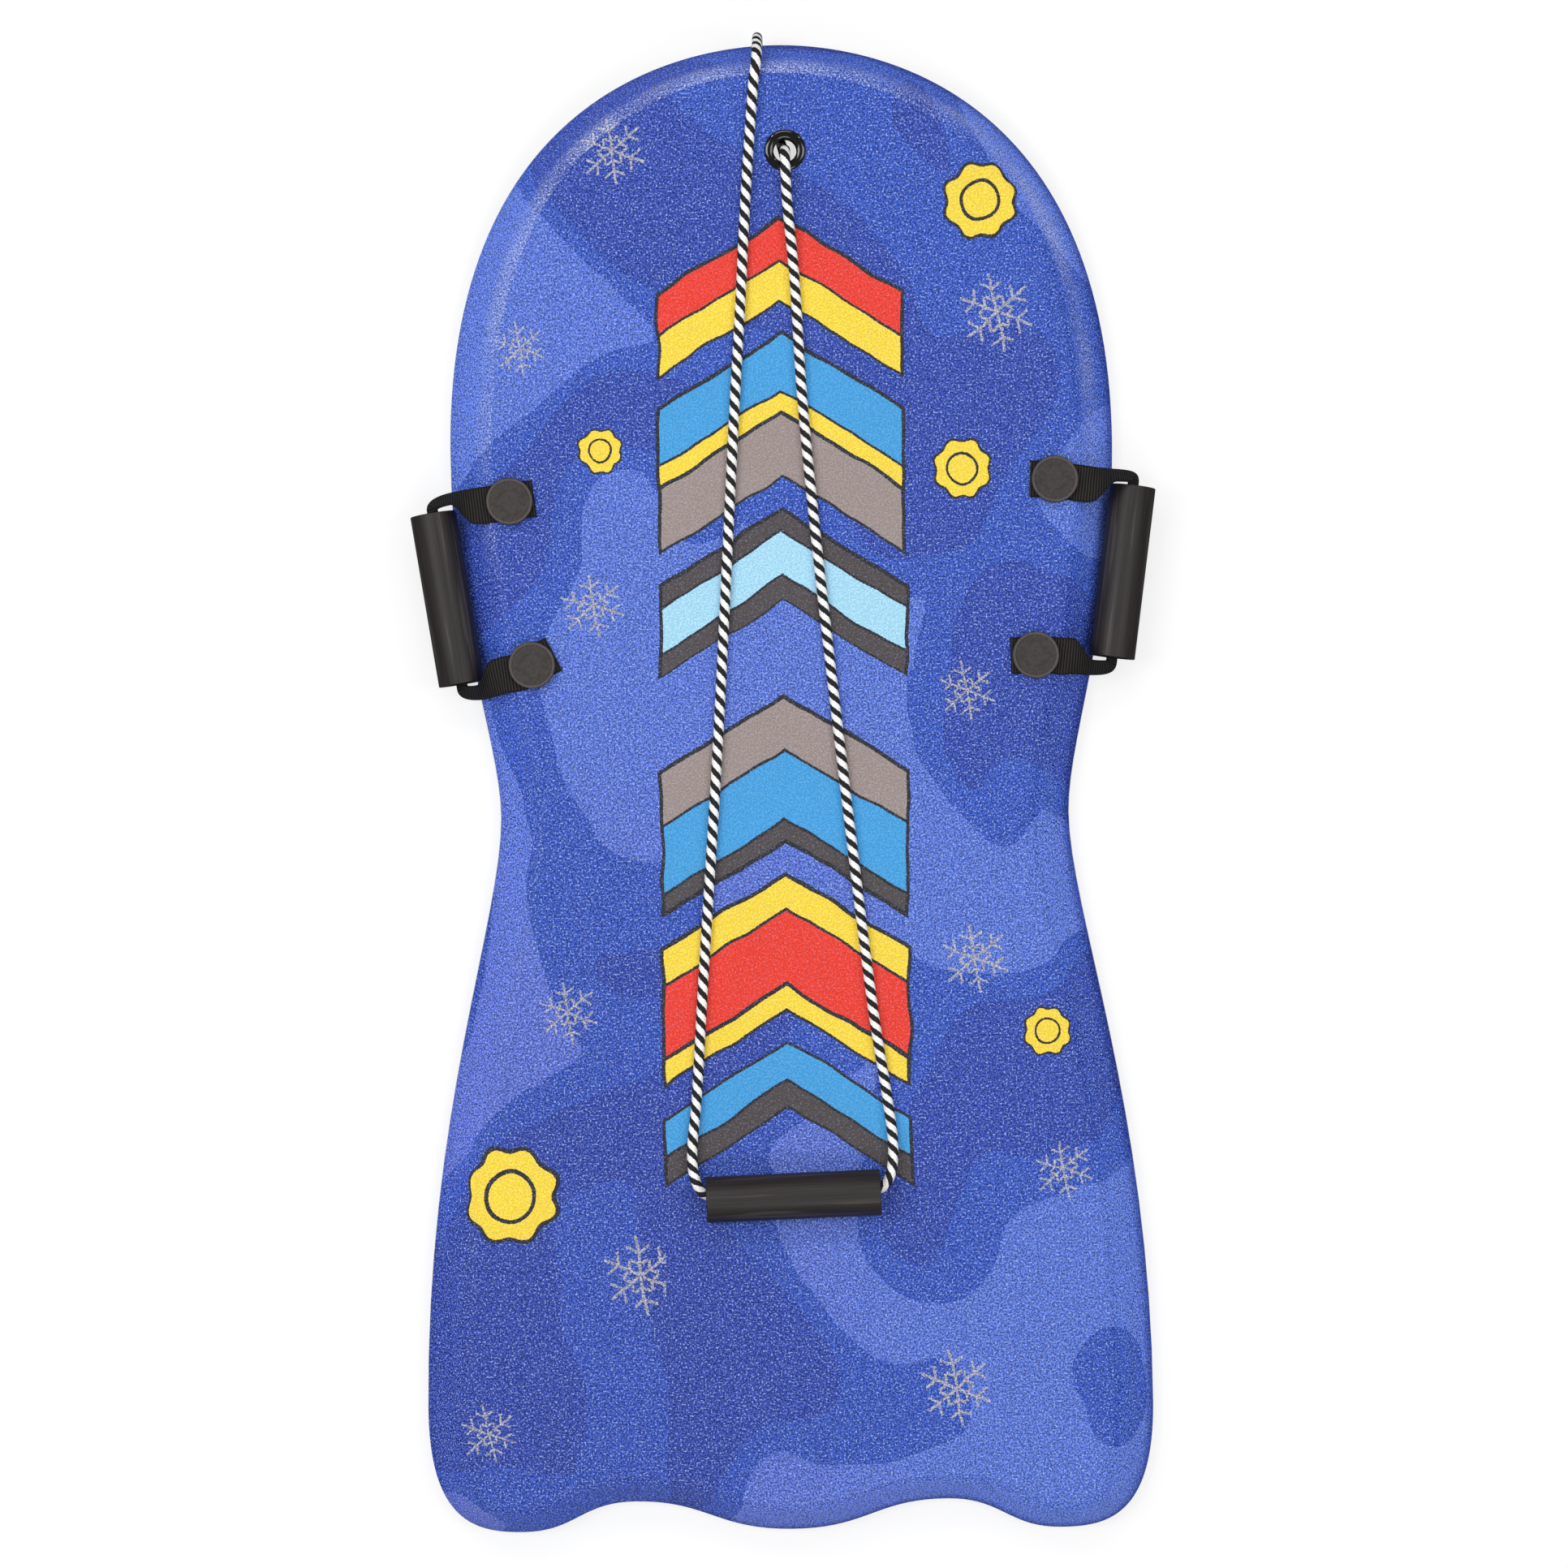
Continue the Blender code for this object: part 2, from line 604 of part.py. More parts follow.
def hinge_end(points, station, way, corners):
    """Rounds the webbing's end about the hinge line, so that it turns there without rubbing."""
    centre, width, heading = station
    half = WEB_WIDTH / 2
    thick = WEB_THICKNESS / 2
    face = width.cross(heading).normalized()
    rows = [(corners[0], corners[1])]
    for step in range(1, HINGE_STEPS):
        angle = math.pi * step / HINGE_STEPS
        middle = centre - face * (thick * math.cos(angle)) + heading * (way * thick * math.sin(angle))
        rows.append((len(points), len(points) + 1))
        points.append(middle - width * half)
        points.append(middle + width * half)
    rows.append((corners[3], corners[2]))
    faces = [[first[0], first[1], second[1], second[0]] for first, second in zip(rows, rows[1:])]
    faces.append([row[0] for row in rows])
    faces.append([row[1] for row in rows])
    return faces


def make_grip(name, frame):
    """A plain tube with eased ends, along the frame's Z."""
    half = GRIP_LENGTH / 2
    bore = GRIP_RADIUS - GRIP_WALL
    profile = [
        (GRIP_RADIUS - GRIP_EDGE, -half), (GRIP_RADIUS, -half + GRIP_EDGE), (GRIP_RADIUS, half - GRIP_EDGE),
        (GRIP_RADIUS - GRIP_EDGE, half), (bore + GRIP_EDGE, half), (bore, half - GRIP_EDGE),
        (bore, -half + GRIP_EDGE), (bore + GRIP_EDGE, -half),
    ]
    turned(name, profile, ROUND_STEPS, frame, PLASTIC, hollow=True)


def make_handle(label, handle, core, skin, slick):
    """One grab handle: two buttons in their anchors, the webbing and the grip on it."""
    frame, half_span = handle_frame(handle)
    ends = zip((-half_span, half_span), handle["order"], handle["tail_turns"], handle["slides"])
    for along, end, tail_turn, slide in ends:
        name = label + "_" + end
        make_button(name, frame @ Matrix.Translation(Vector((along, 0, 0))), core, skin, slick)
        make_tab(name + "_strap_tab", frame, along, tail_turn, slide)
    make_loop(label + "_strap_loop", frame, handle, half_span)
    lie = Matrix.Rotation(handle["yaw"], 4, "Z") @ Matrix.Rotation(math.pi / 2, 4, "Y")
    make_grip(label + "_grip", frame @ Matrix.Translation(grip_middle(handle)) @ lie)


def smooth_route(route):
    """Points on one smooth curve through the route, close together where the route is."""
    ends = [route[0] * 2 - route[1]] + route + [route[-1] * 2 - route[-2]]
    result = []
    for before, start, end, after in zip(ends, ends[1:], ends[2:], ends[3:]):
        span = (end - start).length
        steps = max(1, round(span / ROPE_STEP))
        leave = start + (end - before) * (span / (3 * ((start - before).length + span)))
        arrive = end - (after - start) * (span / (3 * (span + (after - end).length)))
        for step in range(steps):
            result.append(cubic(start, leave, arrive, end, step / steps)[0])
    result.append(route[-1])
    return result


def make_tow_line():
    """The tow rope in one length, the knot that joins its ends and the grip that hides the knot."""
    curve = bpy.data.curves.new("tow_rope", "CURVE")
    curve.dimensions = "3D"
    curve.bevel_depth = ROPE_RADIUS
    curve.bevel_resolution = 3
    curve.use_fill_caps = True
    spline = curve.splines.new("POLY")
    points = smooth_route([Vector(point) * MM for point in ROPE_ROUTE])
    spline.points.add(len(points) - 1)
    for knot, point in zip(spline.points, points):
        knot.co = (*point, 1.0)
    rope = bpy.data.objects.new("tow_rope", curve)
    bpy.context.scene.collection.objects.link(rope)
    curve.materials.append(ROPE)
    lie = Matrix.Rotation(TOW_TURN, 4, "Z") @ Matrix.Rotation(math.pi / 2, 4, "Y")
    height = THICKNESS + GAP + GRIP_RADIUS
    make_grip("tow_grip", Matrix.Translation(Vector((TOW_X, TOW_Y, height))) @ lie)
    bore_low = height - GRIP_RADIUS + GRIP_WALL
    knot_frame = Matrix.Translation(Vector((TOW_X, TOW_Y, bore_low + KNOT_RADIUS + 2 * GAP))) @ lie
    end = KNOT_LENGTH / 2
    body = KNOT_BODY / 2
    profile = [
        (0, -end), (KNOT_FACE, -end), (KNOT_RADIUS, -body), (KNOT_RADIUS, body), (KNOT_FACE, end), (0, end),
    ]
    turned("tow_knot", profile, HOLE_STEPS, knot_frame, ROPE)


def make_sled():
    core, skin, slick = make_board()
    make_eyelet(core, skin, slick)
    for label, handle in HANDLES.items():
        make_handle(label, handle, core, skin, slick)
    make_tow_line()


clear_scene()
FOAM = make_material("foam_core", (0.85, 0.86, 0.88), 0.85)
PRINT = make_material("deck_print", (0.04, 0.07, 0.48), 0.35)
SHEET = make_material("slick_sheet", (0.55, 0.60, 0.66), 0.3)
GLOSS = make_material("gloss_black", (0.012, 0.012, 0.012), 0.2)
BUTTON = make_material("matte_black", (0.035, 0.033, 0.033), 0.6)
PLASTIC = make_material("grip_black", (0.022, 0.021, 0.020), 0.5)
WEBBING = make_material("black_webbing", (0.010, 0.010, 0.011), 0.85)
ROPE = make_material("striped_rope", (0.60, 0.60, 0.58), 0.8)
GUIDE = make_material("guide", (0.8, 0.2, 0.2), 0.5)
OUTLINE = half_outline()
make_sled()
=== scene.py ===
"""Foam snow sled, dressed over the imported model. Everything is in metres, in the model's own frame."""
import math

import bmesh
import bpy
from mathutils import Matrix, Vector


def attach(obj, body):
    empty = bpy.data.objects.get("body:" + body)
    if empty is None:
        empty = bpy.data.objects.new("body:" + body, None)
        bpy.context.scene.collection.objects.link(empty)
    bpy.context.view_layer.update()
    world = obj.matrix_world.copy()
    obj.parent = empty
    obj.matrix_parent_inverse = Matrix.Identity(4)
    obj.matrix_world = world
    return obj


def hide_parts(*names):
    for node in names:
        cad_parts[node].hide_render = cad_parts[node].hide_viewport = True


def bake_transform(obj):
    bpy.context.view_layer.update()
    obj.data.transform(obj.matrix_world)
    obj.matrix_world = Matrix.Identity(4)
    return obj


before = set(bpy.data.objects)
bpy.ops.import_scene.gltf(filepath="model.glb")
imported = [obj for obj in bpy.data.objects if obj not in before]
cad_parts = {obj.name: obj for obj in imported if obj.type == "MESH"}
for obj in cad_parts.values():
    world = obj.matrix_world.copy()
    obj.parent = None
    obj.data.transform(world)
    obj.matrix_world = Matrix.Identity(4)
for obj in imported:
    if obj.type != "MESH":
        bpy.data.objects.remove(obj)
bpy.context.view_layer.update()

MM = 0.001
SHARP_ANGLE = math.radians(40)
TURN_STEPS = 72
DRILL_SIDES = 48
WHITE = (1.0, 1.0, 1.0, 1.0)

# Camera, straight above the board.
SENSOR = 36.0
LENS = 100.45
CAMERA_PLACE = (-0.0004, 0.0006, 3.0)
CAMERA_ROLL = -0.01

# Board outline and section: the sizes in the part's source, in finer steps.
NOSE_Y = 502.5 * MM
SHOULDER = (226.8 * MM, 231.0 * MM)
WAIST = (194.5 * MM, -20.0 * MM)
TAIL = (248.4 * MM, -425.0 * MM)
LOBE = (183.5 * MM, -509.5 * MM)
NOTCH = (106.5 * MM, -489.3 * MM)
TAIL_MID_Y = -509.1 * MM
ARC_SHARES = ((0.35, 0.84), (0.50, 0.20), (0.17, 0.50), (0.95, 0.45), (0.47, 0.48), (0.46, 0.49))
ARC_STEPS = (56, 14, 16, 26, 18, 18)
THICKNESS = 45.0 * MM
FOOT_HEIGHT = 12.0 * MM
BEVEL_SIDE = 26.0 * MM
BEVEL_END = 18.0 * MM
SHOULDER_RADIUS = 12.0 * MM
FOOT_RADIUS = 6.0 * MM
ROCKER_RISE = 22.0 * MM
ROCKER_START_Y = 250.0 * MM
COVER = 1.7 * MM
SLICK = 1.8 * MM
SLICK_REVEAL = 0.8 * MM
SLICK_EDGE = 0.7 * MM
SLICK_EASE_SHARE = 0.3
GAP = 0.3 * MM
FILLET_STEPS = 9
FOOT_STEPS = 3
FLAT_BORDER = 5.0 * MM
ROCKER_RUN = NOSE_Y - ROCKER_START_Y
STRAIGHT_TAIL_Y = TAIL[1] * 0.9

# Fittings.
HOLE = (4.5 * MM, 427.0 * MM)
HOLE_RADIUS = 7.8 * MM
BARREL_RADIUS = 9.7 * MM
BARREL_PLAY = 0.3 * MM
BARREL_MEET = 1.2 * MM
FLANGE_RADIUS = 13.9 * MM
FLANGE_HEIGHT = 2.4 * MM
FLANGE_LIFT = 0.35 * MM
FLANGE_EASE = 0.5 * MM
DOME_STEPS = 14
DOME_START = math.radians(8)
DOME_SWEEP = math.radians(164)
DOME_FULLNESS = 0.75
MOUTH_DROP = 0.6 * MM
LOWER_BARREL = 14.0 * MM
WEB_WIDTH = 25.0 * MM
WEB_THICKNESS = 1.6 * MM
WEB_EDGE_STEPS = 4
RIB_STEP = 1.9 * MM
WARP_STEP = 1.6 * MM
WEB_LIE = THICKNESS + GAP + WEB_THICKNESS / 2
TAB_TAIL = 0.9 * MM
TAB_SETTLE = 0.2
TAB_STEPS = 12
BUTTON_RADIUS = 15.75 * MM
BUTTON_HEIGHT = 4.6 * MM
BUTTON_EASE = 0.8 * MM
BUTTON_FOOT_EASE = 0.4 * MM
BUTTON_RIM = 2.0 * MM
BUTTON_DISH = 0.45 * MM
BUTTON_LIP = 0.25 * MM
BUTTON_LIP_DROP = 0.1 * MM
BUTTON_WALL_SLANT = 0.3 * MM
BUTTON_SAG = 0.05 * MM
BUTTON_SAG_SHARE = 0.5
SHANK_RADIUS = 4.5 * MM
SHANK_END = 2.5 * MM
ANCHOR_RADIUS = 18.0 * MM
BUTTON_INSET = 42.0 * MM
HINGE_OFFSET = 3.3 * MM
GRIP_LENGTH = 117.0 * MM
GRIP_RADIUS = 15.5 * MM
GRIP_WALL = 2.4 * MM
GRIP_CLEARANCE = 3.3 * MM
MOUTH_EASE = 0.6 * MM
ARM_LEAD = 3.0 * MM
ARM_LEAN = math.radians(67)
ARM_FLAT = 1.5 * MM
ARM_TWIST = 21.0 * MM
ARM_SQUARE_SHARE = 0.3
ARM_STEPS = 30
MOUTH_SHARE = 0.8
HANDLES = {
    "left": {
        "side": -1, "setback": 38.0 * MM, "spacing": 110.6 * MM, "order": ("rear", "front"),
        "tail_turns": (math.radians(20), 0), "slides": (-3.7 * MM, 0),
        "leave_turns": (math.radians(11), 0),
        "runs": (12.0 * MM, 14.0 * MM), "bulges": (11.0 * MM, 11.5 * MM),
        "standoff": 9.8 * MM, "slip": -2.8 * MM, "yaw": math.radians(1.8),
    },
    "right": {
        "side": 1, "setback": 26.5 * MM, "spacing": 118.5 * MM, "order": ("front", "rear"),
        "tail_turns": (math.radians(5), math.radians(8)), "slides": (0.9 * MM, -1.0 * MM),
        "leave_turns": (math.radians(-2), math.radians(12)),
        "runs": (27.0 * MM, 20.0 * MM), "bulges": (12.0 * MM, 12.0 * MM),
        "standoff": 11.6 * MM, "slip": -3.5 * MM, "yaw": math.radians(-0.8),
    },
}

# Tow rope.
ROPE_RADIUS = 3.5 * MM
ROPE_LAY = 19.8 * MM
ROPE_SIDES = 20
ROPE_STEP = 2.2 * MM
TOW = (3.3 * MM, -276.3 * MM)
TOW_TURN = math.radians(2.0)
ROPE_ROUTE = [
    (0.0146, -0.2759, 0.0569), (0.0618, -0.2718, 0.0573), (0.0676, -0.2654, 0.0562),
    (0.0703, -0.2550, 0.0538), (0.0706, -0.2400, 0.0508), (0.0676, -0.2150, 0.0489),
    (0.0581, -0.1512, 0.0488), (0.0441, -0.0317, 0.0488), (0.0261, 0.1344, 0.0488),
    (0.0150, 0.2539, 0.0488), (0.0099, 0.3434, 0.0520), (0.0056, 0.3920, 0.0580),
    (0.0047, 0.4135, 0.0634), (0.0045, 0.4232, 0.0610), (0.0045, 0.4276, 0.0535),
    (0.0043, 0.4284, 0.0340), (0.0040, 0.4288, 0.0205), (0.0033, 0.4330, 0.0116),
    (0.0012, 0.4408, 0.0079), (-0.0060, 0.4650, 0.0102), (-0.0116, 0.4900, 0.0134),
    (-0.0130, 0.4996, 0.0154), (-0.0134, 0.5054, 0.0206), (-0.0135, 0.5074, 0.0290),
    (-0.0135, 0.5055, 0.0390), (-0.0136, 0.4990, 0.0515), (-0.0139, 0.4912, 0.0632),
    (-0.0146, 0.4832, 0.0678), (-0.0164, 0.4710, 0.0662), (-0.0228, 0.3897, 0.0556),
    (-0.0267, 0.3236, 0.0509), (-0.0313, 0.2544, 0.0488), (-0.0445, 0.0322, 0.0488),
    (-0.0563, -0.1336, 0.0488), (-0.0615, -0.2120, 0.0489), (-0.0646, -0.2430, 0.0508),
    (-0.0643, -0.2580, 0.0538), (-0.0614, -0.2686, 0.0562), (-0.0554, -0.2752, 0.0573),
    (-0.0080, -0.2767, 0.0569),
]

# Studio. A lamp's row: place, what it points at, size and power in watts.
FLOOR_HALF = 6.0
FLOOR_GREY = (0.62, 0.62, 0.63, 1.0)
FLOOR_MIRRORED = (0.16, 0.16, 0.17, 1.0)
DOME_LIGHT = 0.26
LAMPS = {
    "left_softbox": ((-1.6, 0.3, 2.8), (0, 0.1, 0), (1.0, 1.8), 36),
    "right_softbox": ((1.6, 0.0, 2.8), (0, 0.0, 0), (1.0, 1.8), 24),
    "nose_softbox": ((-0.2, 2.0, 2.7), (0, 0.2, 0), (1.6, 0.9), 20),
    "left_spark": ((-1.1, 1.5, 2.2), (0, 0.2, 0), (0.16, 0.16), 4),
    "right_spark": ((1.2, 1.3, 2.2), (0, 0.2, 0), (0.16, 0.16), 3),
    "tail_softbox": ((0.2, -1.9, 2.8), (0, -0.1, 0), (1.8, 0.9), 24),
}


def cubic(start, leave, arrive, end, share):
    """A point on a cubic arc, and its direction."""
    rest = 1 - share
    point = (
        start * rest ** 3 + leave * (3 * rest ** 2 * share)
        + arrive * (3 * rest * share ** 2) + end * share ** 3
    )
    heading = (
        (leave - start) * rest ** 2 + (arrive - leave) * (2 * rest * share)
        + (end - arrive) * share ** 2
    )
    return point, heading.normalized()


def smooth_step(share):
    share = min(1.0, max(0.0, share))
    return share * share * (3 - 2 * share)


def new_object(name, data):
    """An object in the scene for a mesh, a camera or a lamp."""
    obj = bpy.data.objects.new(name, data)
    bpy.context.scene.collection.objects.link(obj)
    return obj


def piece_from(name, points, faces, finish, corner_uvs=None):
    """A smooth-shaded object from points and faces and, where given, a UV for every face corner."""
    mesh = bpy.data.meshes.new(name)
    mesh.from_pydata([tuple(point) for point in points], [], faces)
    if corner_uvs is not None:
        layer = mesh.uv_layers.new(name="lay")
        layer.data.foreach_set("uv", [value for uv in corner_uvs for value in uv])
    shape = bmesh.new()
    shape.from_mesh(mesh)
    bmesh.ops.recalc_face_normals(shape, faces=shape.faces)
    shape.to_mesh(mesh)
    shape.free()
    mesh.shade_smooth()
    mesh.set_sharp_from_angle(angle=SHARP_ANGLE)
    mesh.materials.append(finish)
    return new_object(name, mesh)


def band(low, high, count):
    """Faces between two rings of points, from the number of each ring's first point."""
    faces = []
    for step in range(count):
        after = (step + 1) % count
        faces.append([low + step, low + after, high + after, high + step])
    return faces


def swept(name, rings, lengths, around, finish):
    """A cord or a strap from its rings of points, closed at both ends.

    Its UVs hold the length so far and the place around, which has a last value for the closing face.
    """
    count = len(rings[0])
    points = [point for ring in rings for point in ring]
    faces = []
    uvs = []
    for number, (low, high) in enumerate(zip(lengths, lengths[1:])):
        faces += band(number * count, (number + 1) * count, count)
        for first, second in zip(around, around[1:]):
            uvs += [(low, first), (low, second), (high, second), (high, first)]
    for base, length in ((0, lengths[0]), (len(points) - count, lengths[-1])):
        faces.append([base + step for step in range(count)])
        uvs += [(length, place) for place in around[:count]]
    return piece_from(name, points, faces, finish, uvs)


def set_camera():
    view = bpy.data.cameras.new("studio_camera")
    view.sensor_width = SENSOR
    view.lens = LENS
    view.clip_start = 0.05
    camera = new_object("studio_camera", view)
    camera.location = CAMERA_PLACE
    camera.rotation_euler = (0, 0, CAMERA_ROLL)
    bpy.context.scene.camera = camera


class Signal:
    """An output socket. Sums on it add Math nodes to its tree."""

    def __init__(self, nodes, socket):
        self.nodes = nodes
        self.socket = socket

    def _math(self, operation, *values):
        return self.nodes.node("ShaderNodeMath", {"operation": operation}, dict(enumerate(values)))

    def __add__(self, other):
        return self._math("ADD", self, other)

    def __radd__(self, other):
        return self._math("ADD", other, self)

    def __sub__(self, other):
        return self._math("SUBTRACT", self, other)

    def __rsub__(self, other):
        return self._math("SUBTRACT", other, self)

    def __mul__(self, other):
        return self._math("MULTIPLY", self, other)

    def __rmul__(self, other):
        return self._math("MULTIPLY", other, self)

    def __truediv__(self, other):
        return self._math("DIVIDE", self, other)

    def __rtruediv__(self, other):
        return self._math("DIVIDE", other, self)

    def __gt__(self, other):
        return self._math("GREATER_THAN", self, other)

    def __lt__(self, other):
        return self._math("LESS_THAN", self, other)

    def __abs__(self):
        return self._math("ABSOLUTE", self)

    def lower(self, other):
        return self._math("MINIMUM", self, other)

    def higher(self, other):
        return self._math("MAXIMUM", self, other)

    def part(self):
        """What stands after the point."""
        return self._math("FRACT", self)

    def sine(self):
        return self._math("SINE", self)

    def cosine(self):
        return self._math("COSINE", self)

    def eased(self, low, high):
        """0 below low, 1 above high, and smooth between them."""
        settings = {"interpolation_type": "SMOOTHSTEP"}
        return self.nodes.node("ShaderNodeMapRange", settings, {0: self, 1: low, 2: high})

    def angle(self, other):
        """The angle of the point (self, other)."""
        return self._math("ARCTAN2", other, self)

    def folded(self, span):
        """Runs up from 0 to the span and back down, over and over."""
        return self._math("PINGPONG", self, span)


class Nodes:
    """A tree of shader nodes, and the ways to add to it."""

    def __init__(self, tree):
        self.tree = tree

    def feed(self, node, inputs):
        for key, value in inputs.items():
            if isinstance(value, Signal):
                self.tree.links.new(value.socket, node.inputs[key])
            else:
                node.inputs[key].default_value = value

    def node(self, kind, settings=None, inputs=None, out=0):
        """Adds a node: its settings first, then its sockets' values and links. Gives an output."""
        made = self.tree.nodes.new(kind)
        for key, value in (settings or {}).items():
            if key == "stops":
                set_stops(made.color_ramp, value)
            else:
                setattr(made, key, value)
        self.feed(made, inputs or {})
        return Signal(self, made.outputs[out])

    def vector(self, operation, *values, out=0, scale=None):
        inputs = dict(enumerate(values))
        if scale is not None:
            inputs["Scale"] = scale
        return self.node("ShaderNodeVectorMath", {"operation": operation}, inputs, out)

    def object_place(self):
        return self.node("ShaderNodeTexCoord", out="Object")

    def laid_out(self):
        return self.node("ShaderNodeUVMap", {"uv_map": "lay"})

    def noise(self, place, scale, detail, distortion=0.0, out="Fac"):
        inputs = {"Vector": place, "Scale": scale, "Detail": detail, "Distortion": distortion}
        return self.node("ShaderNodeTexNoise", {"noise_dimensions": "3D"}, inputs, out)

    def moved(self, place, noise, reach):
        """A place that a noise's colour moves, within this reach from side to side."""
        shift = self.vector("MULTIPLY_ADD", noise, (reach,) * 3, (-reach / 2,) * 3)
        return self.vector("ADD", place, shift)

    def ramp(self, share, stops):
        """Colour stops with hard joints."""
        return self.node("ShaderNodeValToRGB", {"stops": ("CONSTANT", stops)}, {0: share})

    def split(self, vector):
        made = self.node("ShaderNodeSeparateXYZ", None, {0: vector})
        return [Signal(self, socket) for socket in made.socket.node.outputs]

    def blend_colours(self, share, first, second):
        settings = {"data_type": "RGBA", "clamp_factor": True}
        return self.node("ShaderNodeMix", settings, {0: share, 6: first, 7: second}, 2)

    def pick_vector(self, share, first, second):
        return self.node("ShaderNodeMix", {"data_type": "VECTOR"}, {0: share, 4: first, 5: second}, 1)

    def multiplied(self, share, colour, by):
        """A colour, and by this share of the way the colour times another."""
        settings = {"data_type": "RGBA", "blend_type": "MULTIPLY"}
        return self.node("ShaderNodeMix", settings, {0: share, 6: colour, 7: by}, 2)

    def tinted(self, colour, share):
        """A colour times a grey of this share."""
        grey = self.node("ShaderNodeCombineColor", None, {0: share, 1: share, 2: share})
        return self.multiplied(1.0, colour, grey)

    def bump(self, height, strength, distance, normal=None):
        inputs = {"Strength": strength, "Distance": distance, "Height": height}
        if normal is not None:
            inputs["Normal"] = normal
        return self.node("ShaderNodeBump", None, inputs, "Normal")


class Finish(Nodes):
    """One material and its nodes."""

    def __init__(self, name, **constants):
        self.material = bpy.data.materials.new(name)
        self.material.use_nodes = True
        super().__init__(self.material.node_tree)
        self.shader = self.tree.nodes["Principled BSDF"]
        self.finished(**constants)

    def finished(self, **inputs):
        """Feeds the shader's sockets and gives the material."""
        self.feed(self.shader, {key.replace("_", " "): value for key, value in inputs.items()})
        return self.material


def set_stops(ramp, stops):
    """Fills a colour ramp: its way of joining, then (place, colour) pairs."""
    ramp.interpolation, pairs = stops
    while len(ramp.elements) < len(pairs):
        ramp.elements.new(1.0)
    for element, (place, colour) in zip(ramp.elements, pairs):
        element.position = place
        element.color = colour


def paint(red, green, blue, alpha=1.0):
    """A colour as it shows on a screen, 0 to 255, for a socket."""
    linear = []
    for value in (red, green, blue):
        share = value / 255
        linear.append(share / 12.92 if share <= 0.04045 else ((share + 0.055) / 1.055) ** 2.4)
    return (*linear, alpha)


DEEP_BLUE = paint(11, 52, 161)
MID_BLUE = paint(22, 69, 178)
LIGHT_BLUE = paint(73, 104, 202)
SKY = paint(63, 159, 222)
PALE = paint(168, 220, 246)
TAUPE = paint(157, 142, 136)
CHARCOAL = paint(76, 68, 65)
YELLOW = paint(252, 218, 56)
RED = paint(235, 55, 28)
INK = paint(32, 30, 34)
SILVER = paint(172, 168, 170)
CLEAR = paint(22, 69, 178, 0.0)

# The deck's print, in millimetres on the flat film: across from the middle, up towards the nose.
PATCHES = ((0.0, DEEP_BLUE), (0.452, MID_BLUE), (0.536, LIGHT_BLUE))
PATCH_SHIFT = (31.0, 260.0, 90.0)
VIOLET = (1.12, 0.84, 0.92, 1.0)
LINE = 2.4
CHEVRON_SLOPE = 0.62
CHEVRON_HALF = 84.0
UPPER_CHEVRONS = (384.0, [
    (RED, 26), (YELLOW, 24), None, (SKY, 36), (YELLOW, 13), (TAUPE, 40), None,
    (CHARCOAL, 13), (PALE, 28), (CHARCOAL, 13),
])
LOWER_CHEVRONS = (62.0, [
    (TAUPE, 34), (SKY, 44), (CHARCOAL, 12), None, (YELLOW, 22), (RED, 48), (YELLOW, 15), None,
    (SKY, 24), (CHARCOAL, 16),
])
CHEVRON_GAP = 20.0
FLAKES = [
    (-112, 428, 23), (146, 318, 26), (-176, 296, 19), (-128, 122, 22), (124, 62, 20), (-148, -152, 21),
    (128, -118, 24), (186, -262, 20), (-100, -330, 27), (112, -408, 25), (-204, -436, 20),
]
FLAKE_ARMS = ((0.28, 0.24), (0.58, 0.34))
FLAKE_TURN = 0.35
FLAKE_ARM_HALF = 0.036
FLAKE_TWIG_HALF = 0.034
DISCS = [
    (136, 392, 25), (-188, -276, 33), (-44, -446, 24), (-122, 226, 15), (176, -168, 17), (122, 212, 20),
]
SCALLOPS = 8.0
SCALLOP_DEPTH = 0.06
# Colour of the painted glints on the film.
PAINTED_GLINT = paint(180, 202, 255)
# Colour of the painted sheen on the shoulder.
SHEEN = paint(208, 218, 250)
SHEEN_HEIGHT = 43.0 * MM
SHEEN_DROP = 11.0 * MM
SHEEN_ACROSS = (20.0 * MM, 190.0 * MM)
SHEEN_BAND = (11.0 * MM, 1.0 * MM)
# Colour of the painted shade at the bevel's foot.
FOOT_SHADE = (0.03, 0.13, 0.42, 1.0)
FOOT_SHADE_BAND = (22.0 * MM, 11.0 * MM)
FOOT_SHADE_ACROSS = (-160.0 * MM, 50.0 * MM)
# Where the button's painted rim highlight fades in and out, by distance from its middle.
BUTTON_HIGHLIGHT_START = (13.3 * MM, 14.1 * MM)
BUTTON_HIGHLIGHT_END = (15.8 * MM, 15.0 * MM)
SELVEDGE = (10.8 * MM, 11.8 * MM)


def chevron_ramp(finish, along, top, bands):
    """Bands of colour with ink lines between them, read from the top down. None leaves a gap."""
    gap = 2 * LINE + CHEVRON_GAP
    total = sum(gap if band is None else band[1] + LINE for band in bands) + LINE
    stops = []
    down = 0.0
    for colour, height in [band or (CLEAR, CHEVRON_GAP) for band in bands]:
        stops += [(down / total, INK), ((down + LINE) / total, colour)]
        down += LINE + height
    stops.append((down / total, INK))
    share = (top - along) / total
    ramp = finish.ramp(share, stops)
    inside = (share > 0.0) * (share < (down + LINE) / total)
    alpha = Signal(finish, ramp.socket.node.outputs["Alpha"])
    return ramp, alpha * inside


def nearest_motif(finish, place, motifs):
    """The place in the nearest motif's own measure, in which its radius is 1, and its reach."""
    best = None
    for x, y, radius in motifs:
        middle = (-x / radius, -y / radius, 0.0)
        local = finish.vector("MULTIPLY_ADD", place, (1 / radius,) * 3, middle)
        reach = finish.vector("LENGTH", local, out=1)
        if best is None:
            best, best_reach = local, reach
            continue
        best = finish.pick_vector(reach < best_reach, best, local)
        best_reach = best_reach.lower(reach)
    return best, best_reach


def angle_of(finish, local):
    across, up, _ = finish.split(local)
    return across.angle(up)


